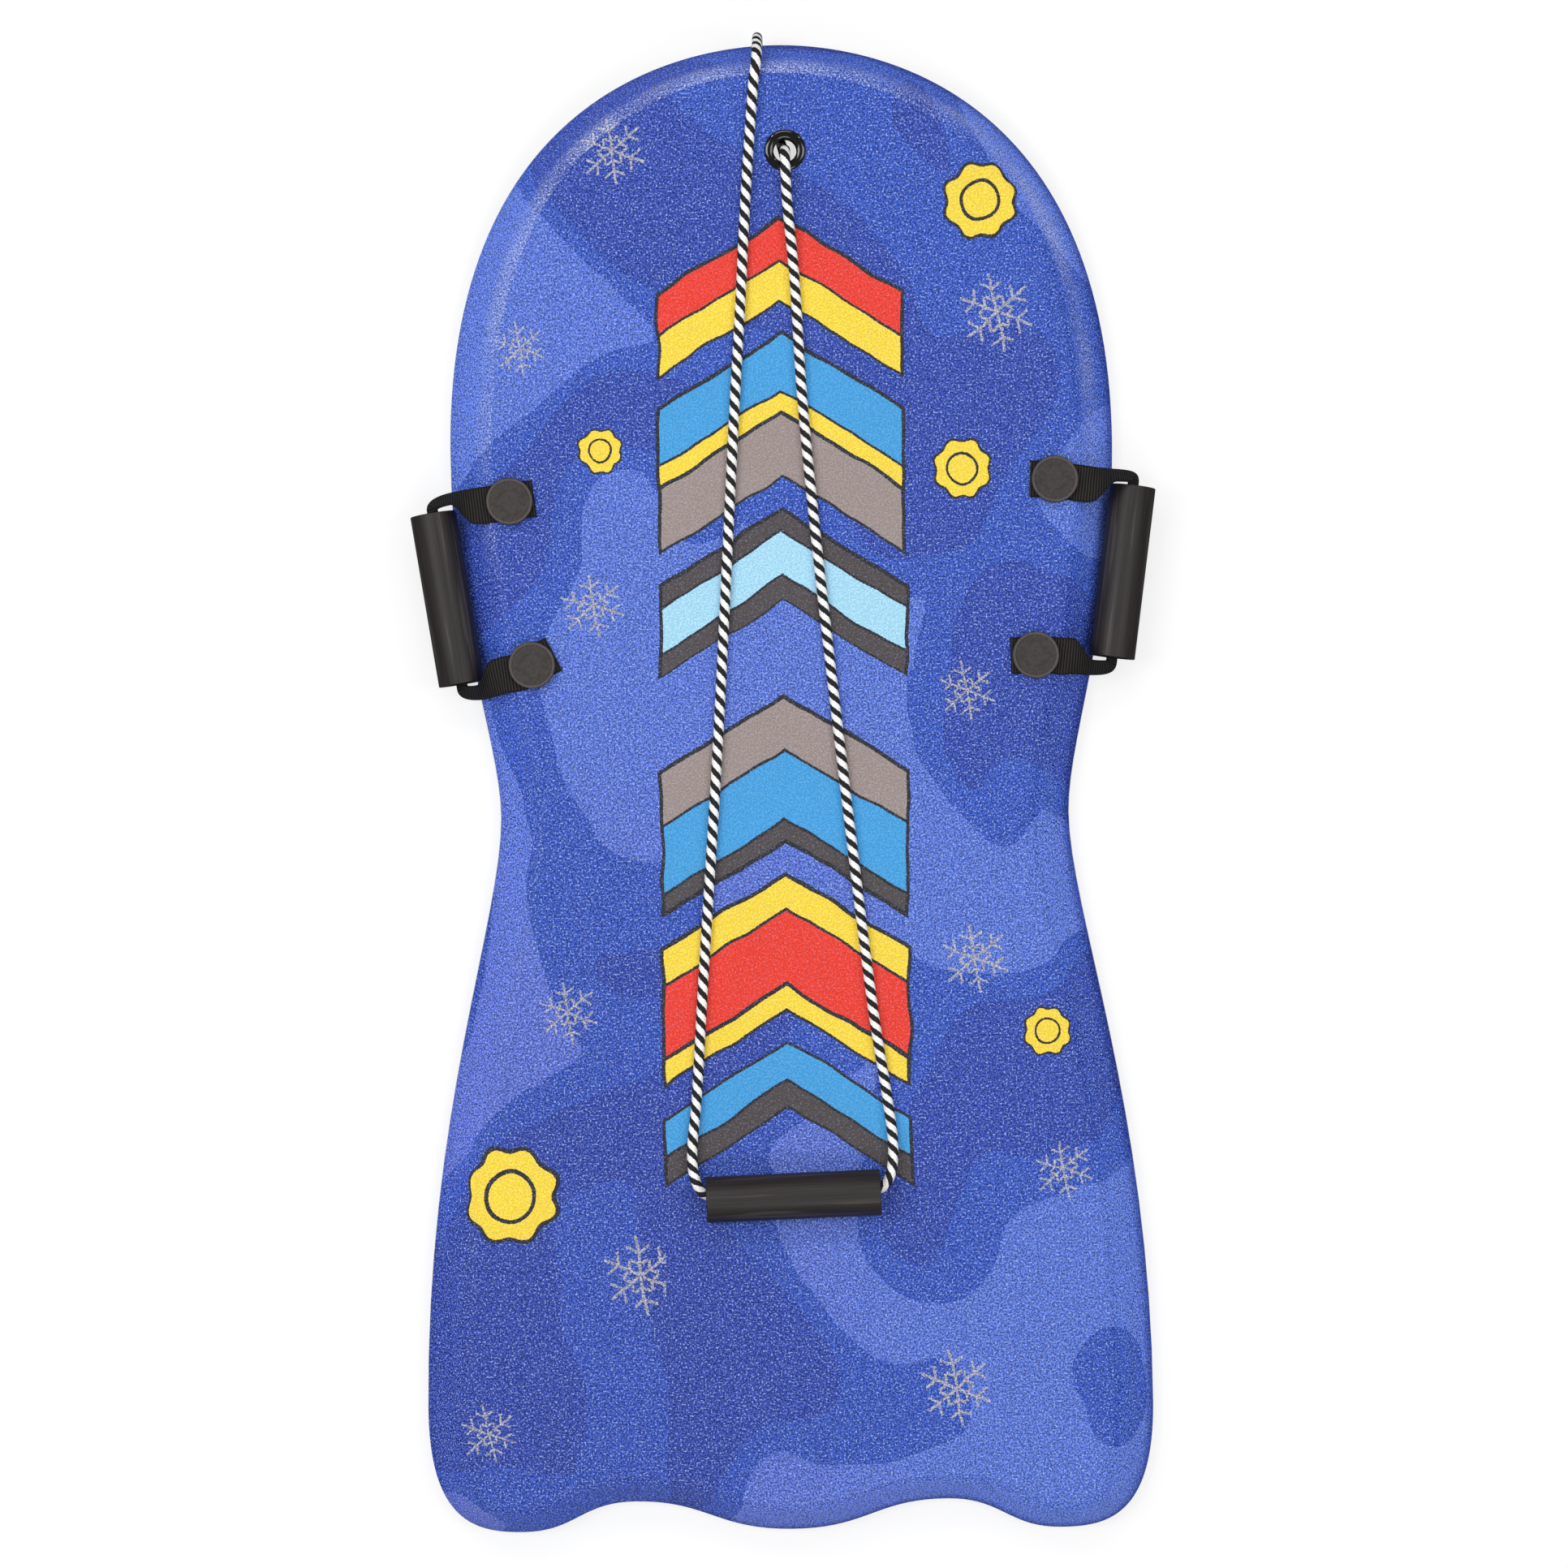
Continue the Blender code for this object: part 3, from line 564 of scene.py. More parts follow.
def flake_lines(finish, place):
    """Six-armed snowflakes drawn in thin lines, each arm with two pairs of twigs."""
    local, reach = nearest_motif(finish, place, FLAKES)
    fold = (angle_of(finish, local) + FLAKE_TURN).folded(math.pi / 6)
    out = reach * fold.cosine()
    side = reach * fold.sine()
    lines = (side < FLAKE_ARM_HALF) * (out < 1.0)
    for base, length in FLAKE_ARMS:
        from_base = out - base
        along = from_base * 0.5 + side * 0.866
        across = abs(from_base * 0.866 - side * 0.5)
        lines = lines.higher((across < FLAKE_TWIG_HALF) * (along > 0.0) * (along < length))
    return lines


def add_chevrons(finish, colour, across, up):
    """The two runs of chevrons, with where they cover the ground and where the film is beside them."""
    off_centre = abs(across)
    along = up + off_centre * CHEVRON_SLOPE
    in_column = off_centre < CHEVRON_HALF
    rim = off_centre > CHEVRON_HALF - LINE
    covered = 0.0
    for top, bands in (UPPER_CHEVRONS, LOWER_CHEVRONS):
        ramp, shown = chevron_ramp(finish, along, top, bands)
        shown = shown * in_column
        covered = shown + covered
        colour = finish.blend_colours(shown, colour, finish.blend_colours(rim, ramp, INK))
    return colour, covered, 1 - in_column


def add_discs(finish, colour, place, beside):
    """The scalloped discs, each with a rim and a ring of ink, with where they cover the ground."""
    local, reach = nearest_motif(finish, place, DISCS)
    from_edge = reach + (angle_of(finish, local) * SCALLOPS).cosine() * SCALLOP_DEPTH
    ring = abs(reach - 0.5) < 0.045
    disc_colour = finish.blend_colours(ring, YELLOW, INK)
    disc_colour = finish.blend_colours(from_edge > 0.91, disc_colour, INK)
    shown = (from_edge < 1.0) * beside
    return finish.blend_colours(shown, colour, disc_colour), shown


def deck_levels(finish):
    """Across, height above the running face, and how level the film lies: 1 on the deck, 0 upright."""
    x, y, z = finish.split(finish.object_place())
    run = ((y - ROCKER_START_Y) / ROCKER_RUN).higher(0.0)
    deck_rise = run * (2 * ROCKER_RISE / ROCKER_RUN)
    _, facing_y, facing_z = finish.split(finish.node("ShaderNodeNewGeometry", out="True Normal"))
    level = (facing_z - facing_y * deck_rise) * (1 - deck_rise * deck_rise * 0.5)
    return x, z - run * run * ROCKER_RISE, level


def deck_print():
    """Embossed film over foam: a blue ground, chevrons, snowflakes and scalloped discs."""
    finish = Finish("deck_print", Specular_IOR_Level=0.27)
    place = finish.vector("SCALE", finish.laid_out(), scale=1 / MM)
    drawn = finish.moved(place, finish.noise(place, 0.028, 1.0, out="Color"), 7.0)
    edged = finish.moved(drawn, finish.noise(place, 0.9, 1.0, out="Color"), 1.1)
    across, up, _ = finish.split(edged)

    patches = finish.noise(finish.vector("ADD", drawn, PATCH_SHIFT), 0.0046, 0.6, 0.9)
    violet = up.eased(150.0, -300.0) * across.eased(150.0, -100.0)
    colour = finish.multiplied(violet, finish.ramp(patches, PATCHES), VIOLET)
    colour, on_chevrons, beside = add_chevrons(finish, colour, across, up)
    worn = finish.noise(place, 0.5, 2.0).eased(0.30, 0.46)
    flakes = flake_lines(finish, edged) * beside * worn
    colour = finish.blend_colours(flakes * 0.92, colour, SILVER)
    colour, on_discs = add_discs(finish, colour, edged, beside)
    on_ground = 1 - on_chevrons.higher(on_discs) * 0.72

    # The film's pebble, with painted shade and light of its relief, and painted glints as pale specks.
    # The bevels are painted brighter than the deck, and their pebble shading is stronger.
    x, height, level = deck_levels(finish)
    steep = level.eased(0.97, 0.50)
    pebble = finish.noise(place, 0.92, 0.8, 0.4).eased(0.38, 0.62)
    broad = finish.noise(place, 0.012, 2.0)
    painted_pebble_shading = (pebble - 0.5) * on_ground * (steep * 0.4 + 1.0)
    colour = finish.tinted(colour, 0.93 + broad * 0.10 + painted_pebble_shading)
    glint = finish.noise(place, 0.76, 1.0).eased(0.585, 0.68)
    # Painted glints: pale specks blended into the film's colour.
    painted_glints = (pebble * 0.10 + glint * 0.62) * on_ground
    colour = finish.blend_colours(painted_glints, colour, PAINTED_GLINT)
    # Painted light: the bevels' colour is brightened.
    colour = finish.tinted(colour, 1 + steep * 0.42)

    # The shoulder gets a painted sheen, most of all round the nose, and the bevel's foot gets painted
    # shade.
    sheen_height = SHEEN_HEIGHT - x.eased(*SHEEN_ACROSS) * SHEEN_DROP
    in_band = abs(height - sheen_height).eased(*SHEEN_BAND)
    shoulder = in_band * level.eased(0.9996, 0.982)
    patchy = finish.noise(place, 0.02, 2.0).eased(0.36, 0.66)
    painted_highlight = shoulder * (up.eased(60.0, 430.0) * 0.92 + 0.08) * (patchy * 0.6 + 0.4)
    painted_highlight = painted_highlight * (0.06 + glint * 1.1 + pebble * 0.34)
    colour = finish.blend_colours(painted_highlight, colour, SHEEN)
    # Painted shade at the bevel's foot, stronger towards the right.
    low_edge = height.eased(*FOOT_SHADE_BAND)
    away = x.eased(*FOOT_SHADE_ACROSS) * 0.6 + 0.15
    colour = finish.multiplied(low_edge * away, colour, FOOT_SHADE)

    pull = finish.vector("MULTIPLY", place, (0.055, 0.006, 0.05))
    wrinkles = finish.bump(finish.noise(pull, 1.0, 2.0), 0.35, 4.0 * MM)
    normal = finish.bump(pebble, 0.6, 0.4 * MM, wrinkles)
    roughness = 0.38 + pebble * 0.06 + broad * 0.08
    return finish.finished(Base_Color=colour, Roughness=roughness, Normal=normal)


def running_sheet():
    """Slick polyethylene sheet under the board, with fine scuffs along its length."""
    finish = Finish("running_sheet")
    place = finish.object_place()
    drag = finish.noise(finish.vector("MULTIPLY", place, (900.0, 14.0, 900.0)), 1.0, 3.0)
    cloud = finish.noise(place, 9.0, 3.0)
    colour = finish.blend_colours(cloud.eased(0.35, 0.65), paint(196, 203, 212), paint(208, 214, 221))
    colour = finish.blend_colours(drag.eased(0.60, 0.72) * 0.5, colour, paint(172, 180, 190))
    normal = finish.bump(drag, 0.15, 0.2 * MM)
    return finish.finished(Base_Color=colour, Roughness=0.24 + drag * 0.16, Normal=normal)


def closed_foam():
    """Closed-cell foam, seen only through the fittings' holes."""
    finish = Finish("closed_foam")
    place = finish.object_place()
    cells = finish.node("ShaderNodeTexVoronoi", {"feature": "F1"}, {"Vector": place, "Scale": 900.0})
    colour = finish.blend_colours(cells.eased(0.1, 0.7), paint(232, 234, 238), paint(214, 217, 224))
    normal = finish.bump(cells, 0.4, 0.3 * MM)
    return finish.finished(Base_Color=colour, Roughness=0.86 + cells * 0.08, Normal=normal)


def gloss_black():
    """Glossy moulded plastic of the eyelet and the anchors."""
    finish = Finish("gloss_black", Specular_IOR_Level=0.6)
    place = finish.object_place()
    haze = finish.noise(place, 240.0, 3.0)
    flow = finish.noise(place, 1400.0, 2.0)
    colour = finish.blend_colours(haze, paint(4, 4, 4), paint(8, 8, 8))
    normal = finish.bump(haze, 0.04, 0.3 * MM)
    return finish.finished(Base_Color=colour, Roughness=0.05 + flow * 0.04, Normal=normal)


def matte_button():
    """Matte moulded button: a fine sand finish, with a painted highlight that makes its rim a little
    paler.
    """
    finish = Finish("matte_button", Specular_IOR_Level=0.3)
    place = finish.object_place()
    sand = finish.noise(place, 1500.0, 2.0)
    haze = finish.noise(place, 420.0, 2.0)
    reach = finish.vector("LENGTH", finish.vector("MULTIPLY", place, (1.0, 1.0, 0.0)), out=1)
    # Painted highlight: a thin ring round the rim is blended paler.
    painted_highlight = reach.eased(*BUTTON_HIGHLIGHT_START) * reach.eased(*BUTTON_HIGHLIGHT_END)
    colour = finish.blend_colours(haze.eased(0.3, 0.7), paint(46, 42, 39), paint(61, 55, 53))
    colour = finish.blend_colours(painted_highlight * 0.45, colour, paint(98, 91, 87))
    colour = finish.tinted(colour, 0.74 + sand * 0.52)
    normal = finish.bump(sand, 0.35, 0.2 * MM)
    return finish.finished(Base_Color=colour, Roughness=0.50 + sand * 0.16, Normal=normal)


def extruded_grip():
    """Extruded grip tube: satin black with fine draw lines along it."""
    finish = Finish("extruded_grip", Specular_IOR_Level=0.35)
    place = finish.object_place()
    drawn = finish.noise(finish.vector("MULTIPLY", place, (1500.0, 1500.0, 16.0)), 1.0, 3.0)
    broad = finish.noise(finish.vector("MULTIPLY", place, (260.0, 260.0, 9.0)), 1.0, 2.0)
    colour = finish.blend_colours(drawn.eased(0.3, 0.7), paint(25, 21, 21), paint(43, 37, 37))
    colour = finish.blend_colours(broad.eased(0.56, 0.68) * 0.6, colour, paint(72, 67, 65))
    normal = finish.bump(drawn, 0.22, 0.2 * MM)
    return finish.finished(Base_Color=colour, Roughness=0.40 + drawn * 0.18, Normal=normal)


def ribbed_webbing():
    """Woven strap: ribs across its width, crossed by the warp's fine rows."""
    finish = Finish("ribbed_webbing", Specular_IOR_Level=0.2)
    along, across, _ = finish.split(finish.laid_out())
    fuzz = finish.noise(finish.object_place(), 1700.0, 2.0)
    ribs = (along * (math.tau / RIB_STEP)).sine() * 0.5 + 0.5
    rows = (across * (math.tau / WARP_STEP)).sine() * 0.5 + 0.5
    weave = ribs * (0.72 + rows * 0.28)
    selvedge = abs(across).eased(*SELVEDGE)
    colour = finish.blend_colours(weave * (1 - selvedge * 0.5), paint(4, 4, 4), paint(56, 53, 51))
    colour = finish.tinted(colour, 0.8 + fuzz * 0.4)
    normal = finish.bump(weave + fuzz * 0.3, 0.8, 0.4 * MM)
    return finish.finished(Base_Color=colour, Roughness=0.74 + fuzz * 0.16, Normal=normal)


def striped_rope():
    """Braided cord, white with two black strands that wind round it."""
    finish = Finish("striped_rope")
    turns, around, _ = finish.split(finish.laid_out())
    left = (turns * 4.0 - around * 8.0) * math.tau
    right = (turns * 4.0 + around * 8.0) * math.tau
    plait = (left.sine() * right.sine()) * 0.5 + 0.5
    fuzz = finish.noise(finish.object_place(), 2600.0, 2.0)
    phase = ((turns + around) * 2.0 + plait * 0.05 + fuzz * 0.04).part()
    black = phase.eased(0.47, 0.50) * phase.eased(1.0, 0.97)
    colour = finish.blend_colours(black, paint(255, 255, 253), paint(14, 13, 15))
    colour = finish.tinted(colour, 0.90 + plait * 0.10 + fuzz * 0.06)
    normal = finish.bump(plait + fuzz * 0.4, 0.7, 0.5 * MM)
    return finish.finished(Base_Color=colour, Roughness=0.70 + fuzz * 0.16, Normal=normal)


def smooth_route(route, step_length):
    """Points on one smooth curve through the route."""
    ends = [route[0] * 2 - route[1]] + route + [route[-1] * 2 - route[-2]]
    result = []
    for before, start, end, after in zip(ends, ends[1:], ends[2:], ends[3:]):
        span = (end - start).length
        steps = max(1, round(span / step_length))
        leave = start + (end - before) * (span / (3 * ((start - before).length + span)))
        arrive = end - (after - start) * (span / (3 * (span + (after - end).length)))
        for step in range(steps):
            result.append(cubic(start, leave, arrive, end, step / steps)[0])
    result.append(route[-1])
    return result


def make_rope(finish):
    """A round cord along the route. Its UVs count the turns of its lay along it."""
    centres = smooth_route([Vector(point) for point in ROPE_ROUTE], ROPE_STEP)
    rings = []
    length = 0.0
    turns = []
    side = Vector((0, 0, 1))
    for number, centre in enumerate(centres):
        before = centres[max(0, number - 1)]
        after = centres[min(len(centres) - 1, number + 1)]
        heading = (after - before).normalized()
        side = (side - heading * side.dot(heading)).normalized()
        other = heading.cross(side)
        ring = []
        for step in range(ROPE_SIDES):
            angle = math.tau * step / ROPE_SIDES
            ring.append(centre + (side * math.cos(angle) + other * math.sin(angle)) * ROPE_RADIUS)
        rings.append(ring)
        if number:
            length += (centre - before).length
        turns.append(length / ROPE_LAY)
    around = [step / ROPE_SIDES for step in range(ROPE_SIDES + 1)]
    rope = swept("braided_tow_rope", rings, turns, around, finish)
    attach(rope, "board")
    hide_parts("tow_rope")


def half_outline():
    """Points down the right half of the board's edge with their outward normals, nose to tail."""
    corners = [(0, NOSE_Y), SHOULDER, WAIST, TAIL, LOBE, NOTCH, (0, TAIL_MID_Y)]
    stops = [Vector(corner) for corner in corners]
    across, down = Vector((1, 0)), Vector((0, -1))
    leaving = [across, down, down, down, -across, -across]
    arriving = [down, down, down, -across, -across, -across]
    result = []
    arcs = zip(stops, stops[1:], leaving, arriving, ARC_SHARES, ARC_STEPS)
    for start, end, leave, arrive, (first, last), steps in arcs:
        span = end - start
        leave_handle = start + leave * first * abs(span.dot(leave))
        arrive_handle = end - arrive * last * abs(span.dot(arrive))
        for step in range(steps):
            point, heading = cubic(start, leave_handle, arrive_handle, end, step / steps)
            result.append((point, Vector((-heading.y, heading.x))))
    result.append((stops[-1], down))
    return result


def half_width_at(y):
    edge = [point for point, _ in OUTLINE[:sum(ARC_STEPS[:3]) + 1]]
    for upper, lower in zip(edge, edge[1:]):
        if lower.y <= y <= upper.y:
            return upper.x + (lower.x - upper.x) * (upper.y - y) / (upper.y - lower.y)
    return edge[-1].x


def rocker(y):
    """How far the running face has risen at y."""
    share = max(0.0, (y - ROCKER_START_Y) / ROCKER_RUN)
    return ROCKER_RISE * share ** 2


def fillet(before, corner, after, radius, steps):
    """Points that round a convex corner of the board's section."""
    first = (before - corner).normalized()
    second = (after - corner).normalized()
    half_angle = first.angle(second) / 2
    reach = min(radius / math.tan(half_angle), (before - corner).length, (after - corner).length)
    start = corner + first * reach
    centre = corner + (first + second).normalized() * (reach / math.cos(half_angle))
    spoke = start - centre
    sweep = spoke.angle_signed(corner + second * reach - centre)
    return [centre + Matrix.Rotation(-sweep * step / steps, 2) @ spoke for step in range(steps + 1)]


def section(bevel, depth, low, high):
    """(inset, height) points up the board's edge, for a layer that lies depth below the surface."""
    slope = Vector((bevel, THICKNESS - FOOT_HEIGHT)).normalized()
    inward = Vector((slope.y, -slope.x))
    on_bevel = Vector((0, FOOT_HEIGHT)) + inward * depth
    foot = on_bevel + slope * ((depth - on_bevel.x) / slope.x)
    shoulder = on_bevel + slope * ((high - on_bevel.y) / slope.y)
    floor_point = Vector((depth, low))
    deck_point = Vector((shoulder.x + SHOULDER_RADIUS, high))
    points = [floor_point]
    points += fillet(floor_point, foot, shoulder, FOOT_RADIUS - depth, FOOT_STEPS)
    points += fillet(foot, shoulder, deck_point, SHOULDER_RADIUS - depth, FILLET_STEPS)
    points.append(points[-1] + Vector((FLAT_BORDER, 0)))
    return points


def ring_stack(layer_section):
    """Rings of (point, flat place) round the board: down the right side and back up the left.

    The flat place is where that bit of film lay before it was drawn down over the edge.
    """
    last = len(OUTLINE) - 1
    order = [(number, 1) for number in range(last + 1)]
    order += [(number, -1) for number in range(last - 1, 0, -1)]
    columns = []
    for point, normal in OUTLINE:
        bevel = BEVEL_SIDE * normal.x ** 2 + BEVEL_END * normal.y ** 2
        levels = layer_section(bevel)
        developed = [levels[-1][0]]
        for lower, upper in zip(reversed(levels[:-1]), reversed(levels[1:])):
            step = math.hypot(upper[0] - lower[0], upper[1] - lower[1])
            developed.append(developed[-1] - step)
        developed.reverse()
        column = []
        for (inset, height), flat_inset in zip(levels, developed):
            spot = point - normal * inset
            flat = point - normal * flat_inset
            column.append((Vector((spot.x, spot.y, height + rocker(spot.y))), flat))
        columns.append(column)
    rings = []
    for level in range(len(columns[0])):
        ring = []
        for number, side in order:
            spot, flat = columns[number][level]
            ring.append((Vector((spot.x * side, spot.y, spot.z)), (flat.x * side, flat.y)))
        rings.append(ring)
    return rings


def cap_rows(ring, offset):
    """Faces that close a ring: strips across it down to the straight tail, then one face."""
    count = len(ring)
    row = 0
    faces = []
    while ring[row][0].y > STRAIGHT_TAIL_Y:
        corners = [row, row + 1, count - row - 1, (count - row) % count]
        faces.append([offset + index for index in dict.fromkeys(corners)])
        row += 1
    faces.append([offset + index for index in range(row, count - row + 1)])
    return faces


def board_layer(name, outer, inner, finish):
    """A plate from rings or, with inner rings, a cover that is open below."""
    rings = outer + inner
    count = len(rings[0])
    points = [spot for ring in rings for spot, _ in ring]
    flats = [flat for ring in rings for _, flat in ring]
    faces = cap_rows(outer[-1], (len(outer) - 1) * count)
    for level in range(len(rings) - 1):
        if level != len(outer) - 1:
            faces += band(level * count, (level + 1) * count, count)
    if inner:
        faces += cap_rows(inner[-1], (len(rings) - 1) * count)
        faces += band(0, len(outer) * count, count)
    else:
        faces += cap_rows(outer[0], 0)
    uvs = [flats[index] for face in faces for index in face]
    return piece_from(name, points, faces, finish, uvs)


def drill(piece, holes):
    """Cuts round holes through a piece: (frame, radius, low, high) each."""
    cutters = bmesh.new()
    for frame_at, radius, low, high in holes:
        bmesh.ops.create_cone(
            cutters, cap_ends=True, segments=DRILL_SIDES, radius1=radius, radius2=radius,
            depth=high - low, matrix=frame_at @ Matrix.Translation((0, 0, (low + high) / 2)),
        )
    mesh = bpy.data.meshes.new("drills")
    cutters.to_mesh(mesh)
    cutters.free()
    tool = new_object("drills", mesh)
    cut = piece.modifiers.new("holes", "BOOLEAN")
    cut.operation = "DIFFERENCE"
    cut.solver = "EXACT"
    cut.object = tool
    bpy.context.view_layer.update()
    seen = piece.evaluated_get(bpy.context.evaluated_depsgraph_get())
    holed = bpy.data.meshes.new_from_object(seen)
    piece.modifiers.clear()
    piece.data = holed
    holed.set_sharp_from_angle(angle=SHARP_ANGLE)
    bpy.data.objects.remove(tool, do_unlink=True)


def make_board(print_finish, sheet_finish):
    """The deck's cover and the running sheet, drilled for the eyelet and the anchors."""
    low = SLICK + GAP
    outer = ring_stack(lambda bevel: section(bevel, SLICK_REVEAL, low, THICKNESS))
    inner = ring_stack(lambda bevel: section(bevel, SLICK_REVEAL + COVER, low, THICKNESS - COVER))
    cover = board_layer("deck_cover", outer, inner, print_finish)
    hole = eyelet_frame()
    drill(cover, [(hole, BARREL_RADIUS + GAP, -THICKNESS / 2, THICKNESS)])
    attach(cover, "board")
    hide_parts("deck_skin")
    eased = SLICK_EDGE * SLICK_EASE_SHARE
    edge = [(SLICK_EDGE, 0.0), (eased, eased), (0.0, SLICK_EDGE), (0.0, SLICK)]
    sheet = board_layer("running_sheet", ring_stack(lambda bevel: edge), [], sheet_finish)
    holes = [(hole, FLANGE_RADIUS + GAP, -2 * THICKNESS, -THICKNESS / 2)]
    for handle in HANDLES.values():
        place, half_span = handle_frame(handle)
        for along in (-half_span, half_span):
            spot = place @ Matrix.Translation((along, 0, 0))
            holes.append((spot, ANCHOR_RADIUS + GAP, -THICKNESS / 2, THICKNESS / 2))
    drill(sheet, holes)
    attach(sheet, "board")
    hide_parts("base_slick")


def turned(name, profile, frame_at, finish, hollow=False):
    """A turned piece from (radius, height) points, about the frame's own Z."""
    points = []
    rings = []
    for radius, height in profile:
        if radius == 0:
            rings.append([len(points)] * TURN_STEPS)
            points.append(Vector((0, 0, height)))
            continue
        rings.append([len(points) + step for step in range(TURN_STEPS)])
        for step in range(TURN_STEPS):
            angle = math.tau * step / TURN_STEPS
            points.append(Vector((radius * math.cos(angle), radius * math.sin(angle), height)))
    pairs = list(zip(rings, rings[1:]))
    if hollow:
        pairs.append((rings[-1], rings[0]))
    faces = []
    for lower, upper in pairs:
        for step in range(TURN_STEPS):
            after = (step + 1) % TURN_STEPS
            corners = [lower[step], lower[after], upper[after], upper[step]]
            faces.append(list(dict.fromkeys(corners)))
    piece = piece_from(name, points, faces, finish)
    piece.matrix_world = frame_at
    return piece


def eased_corner(middle, radius, start, end, steps):
    """Points round a quarter corner of a profile, from one angle to the other in degrees."""
    result = []
    for step in range(steps + 1):
        angle = math.radians(start + (end - start) * step / steps)
        result.append((middle[0] + radius * math.cos(angle), middle[1] + radius * math.sin(angle)))
    return result


def eyelet_frame():
    """The tow hole's own frame: its Z stands square on the deck."""
    top = Vector((HOLE[0], HOLE[1], THICKNESS + rocker(HOLE[1])))
    lean = math.atan(2 * ROCKER_RISE * (HOLE[1] - ROCKER_START_Y) / ROCKER_RUN / ROCKER_RUN)
    return Matrix.Translation(top) @ Matrix.Rotation(lean, 4, "X")


def make_eyelet(finish):
    """The upper eyelet: a broad domed ring that rolls over into its barrel."""
    at = eyelet_frame()
    meet = -THICKNESS / at.to_3x3()[2][2] + LOWER_BARREL + BARREL_MEET
    barrel = BARREL_RADIUS - BARREL_PLAY
    brim = FLANGE_LIFT + FLANGE_EASE
    rise = FLANGE_HEIGHT - brim
    profile = [(HOLE_RADIUS, meet), (barrel, meet), (barrel, FLANGE_LIFT)]
    profile += eased_corner((FLANGE_RADIUS - FLANGE_EASE, brim), FLANGE_EASE, -90, 0, 3)
    middle = (HOLE_RADIUS + FLANGE_RADIUS) / 2
    half = (FLANGE_RADIUS - HOLE_RADIUS) / 2
    for step in range(1, DOME_STEPS):
        angle = DOME_START + DOME_SWEEP * step / DOME_STEPS
        height = brim + rise * math.sin(angle) ** DOME_FULLNESS
        profile.append((middle + half * math.cos(angle), height))
    profile.append((HOLE_RADIUS, -MOUTH_DROP))
    ring = turned("domed_eyelet", profile, at, finish, hollow=True)
    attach(ring, "board")
    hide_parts("eyelet_top")


def handle_frame(handle):
    """The handle's own frame on the ground: X along the line of its buttons, Y outwards, Z up."""
    front_y = SHOULDER[1] - handle["setback"]
    rear_y = front_y - handle["spacing"]
    places = []
    for end in handle["order"]:
        y = front_y if end == "front" else rear_y
        places.append(Vector((handle["side"] * (half_width_at(y) - BUTTON_INSET), y, 0)))
    first, last = places
    along = (last - first).normalized()
    up = Vector((0, 0, 1))
    frame_at = Matrix((along, up.cross(along), up)).transposed().to_4x4()
    frame_at.translation = (first + last) / 2
    return frame_at, (last - first).length / 2


def grip_middle(handle):
    """The grip's middle in the handle's frame."""
    rise = THICKNESS - FOOT_HEIGHT
    reach = (GRIP_RADIUS + GRIP_CLEARANCE) * math.hypot(BEVEL_SIDE, rise)
    height = FOOT_HEIGHT + (reach - handle["standoff"] * rise) / BEVEL_SIDE
    return Vector((handle["slip"], BUTTON_INSET + handle["standoff"], height))


def make_button(name, at, finish):
    """A round button with a raised rim, its shank going down through the board."""
    under = WEB_LIE + WEB_THICKNESS / 2 + GAP
    top = under + BUTTON_HEIGHT
    floor = top - BUTTON_DISH
    inner = BUTTON_RADIUS - BUTTON_RIM
    foot = (BUTTON_RADIUS - BUTTON_FOOT_EASE, under + BUTTON_FOOT_EASE)
    brow = (BUTTON_RADIUS - BUTTON_EASE, top - BUTTON_EASE)
    profile = [(0, SHANK_END), (SHANK_RADIUS, SHANK_END), (SHANK_RADIUS, under)]
    profile += eased_corner(foot, BUTTON_FOOT_EASE, -90, 0, 3)
    profile += eased_corner(brow, BUTTON_EASE, 0, 90, 6)
    profile += [(inner + BUTTON_LIP, top), (inner, top - BUTTON_LIP_DROP)]
    profile.append((inner - BUTTON_WALL_SLANT, floor))
    profile += [(inner * BUTTON_SAG_SHARE, floor - BUTTON_SAG), (0, floor - BUTTON_SAG)]
    button = turned(name + "_cap", profile, at, finish)
    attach(button, "board")
    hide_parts(name + "_button")


def make_grip(name, at, body, node, finish):
    """A grip tube with a clean-cut mouth at both ends."""
    end = GRIP_LENGTH / 2 - MOUTH_EASE
    outer = GRIP_RADIUS - MOUTH_EASE
    inner = GRIP_RADIUS - GRIP_WALL + MOUTH_EASE
    profile = eased_corner((outer, -end), MOUTH_EASE, -90, 0, 4)
    profile += [(GRIP_RADIUS, GRIP_LENGTH / 2 * share) for share in (-0.5, 0.0, 0.5)]
    profile += eased_corner((outer, end), MOUTH_EASE, 0, 90, 4)
    profile += eased_corner((inner, end), MOUTH_EASE, 90, 180, 4)
    profile += eased_corner((inner, -end), MOUTH_EASE, 180, 270, 4)
    grip = turned(name, profile, at, finish, hollow=True)
    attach(grip, body)
    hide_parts(node)


def tab_stations(handle, number, along, into_grip):
    """Places of the webbing under a button, from its end to the hinge line: centre, width, heading."""
    width = Vector((math.copysign(1.0, into_grip.x), 0, 0))
    back = BUTTON_RADIUS + TAB_TAIL
    stations = []
    for step in range(TAB_STEPS):
        share = step / TAB_STEPS
        settled = smooth_step((share - TAB_SETTLE) / (1 - TAB_SETTLE))
        way = Matrix.Rotation(handle["tail_turns"][number] * (1 - settled), 3, "Z")
        out = -back + (back + BUTTON_RADIUS + HINGE_OFFSET) * share
        slide = handle["slides"][number] * settled
        centre = way @ Vector((0, out, 0)) + Vector((along + slide, 0, WEB_LIE))
        stations.append((centre, way @ width, way @ Vector((0, 1, 0))))
    return stations


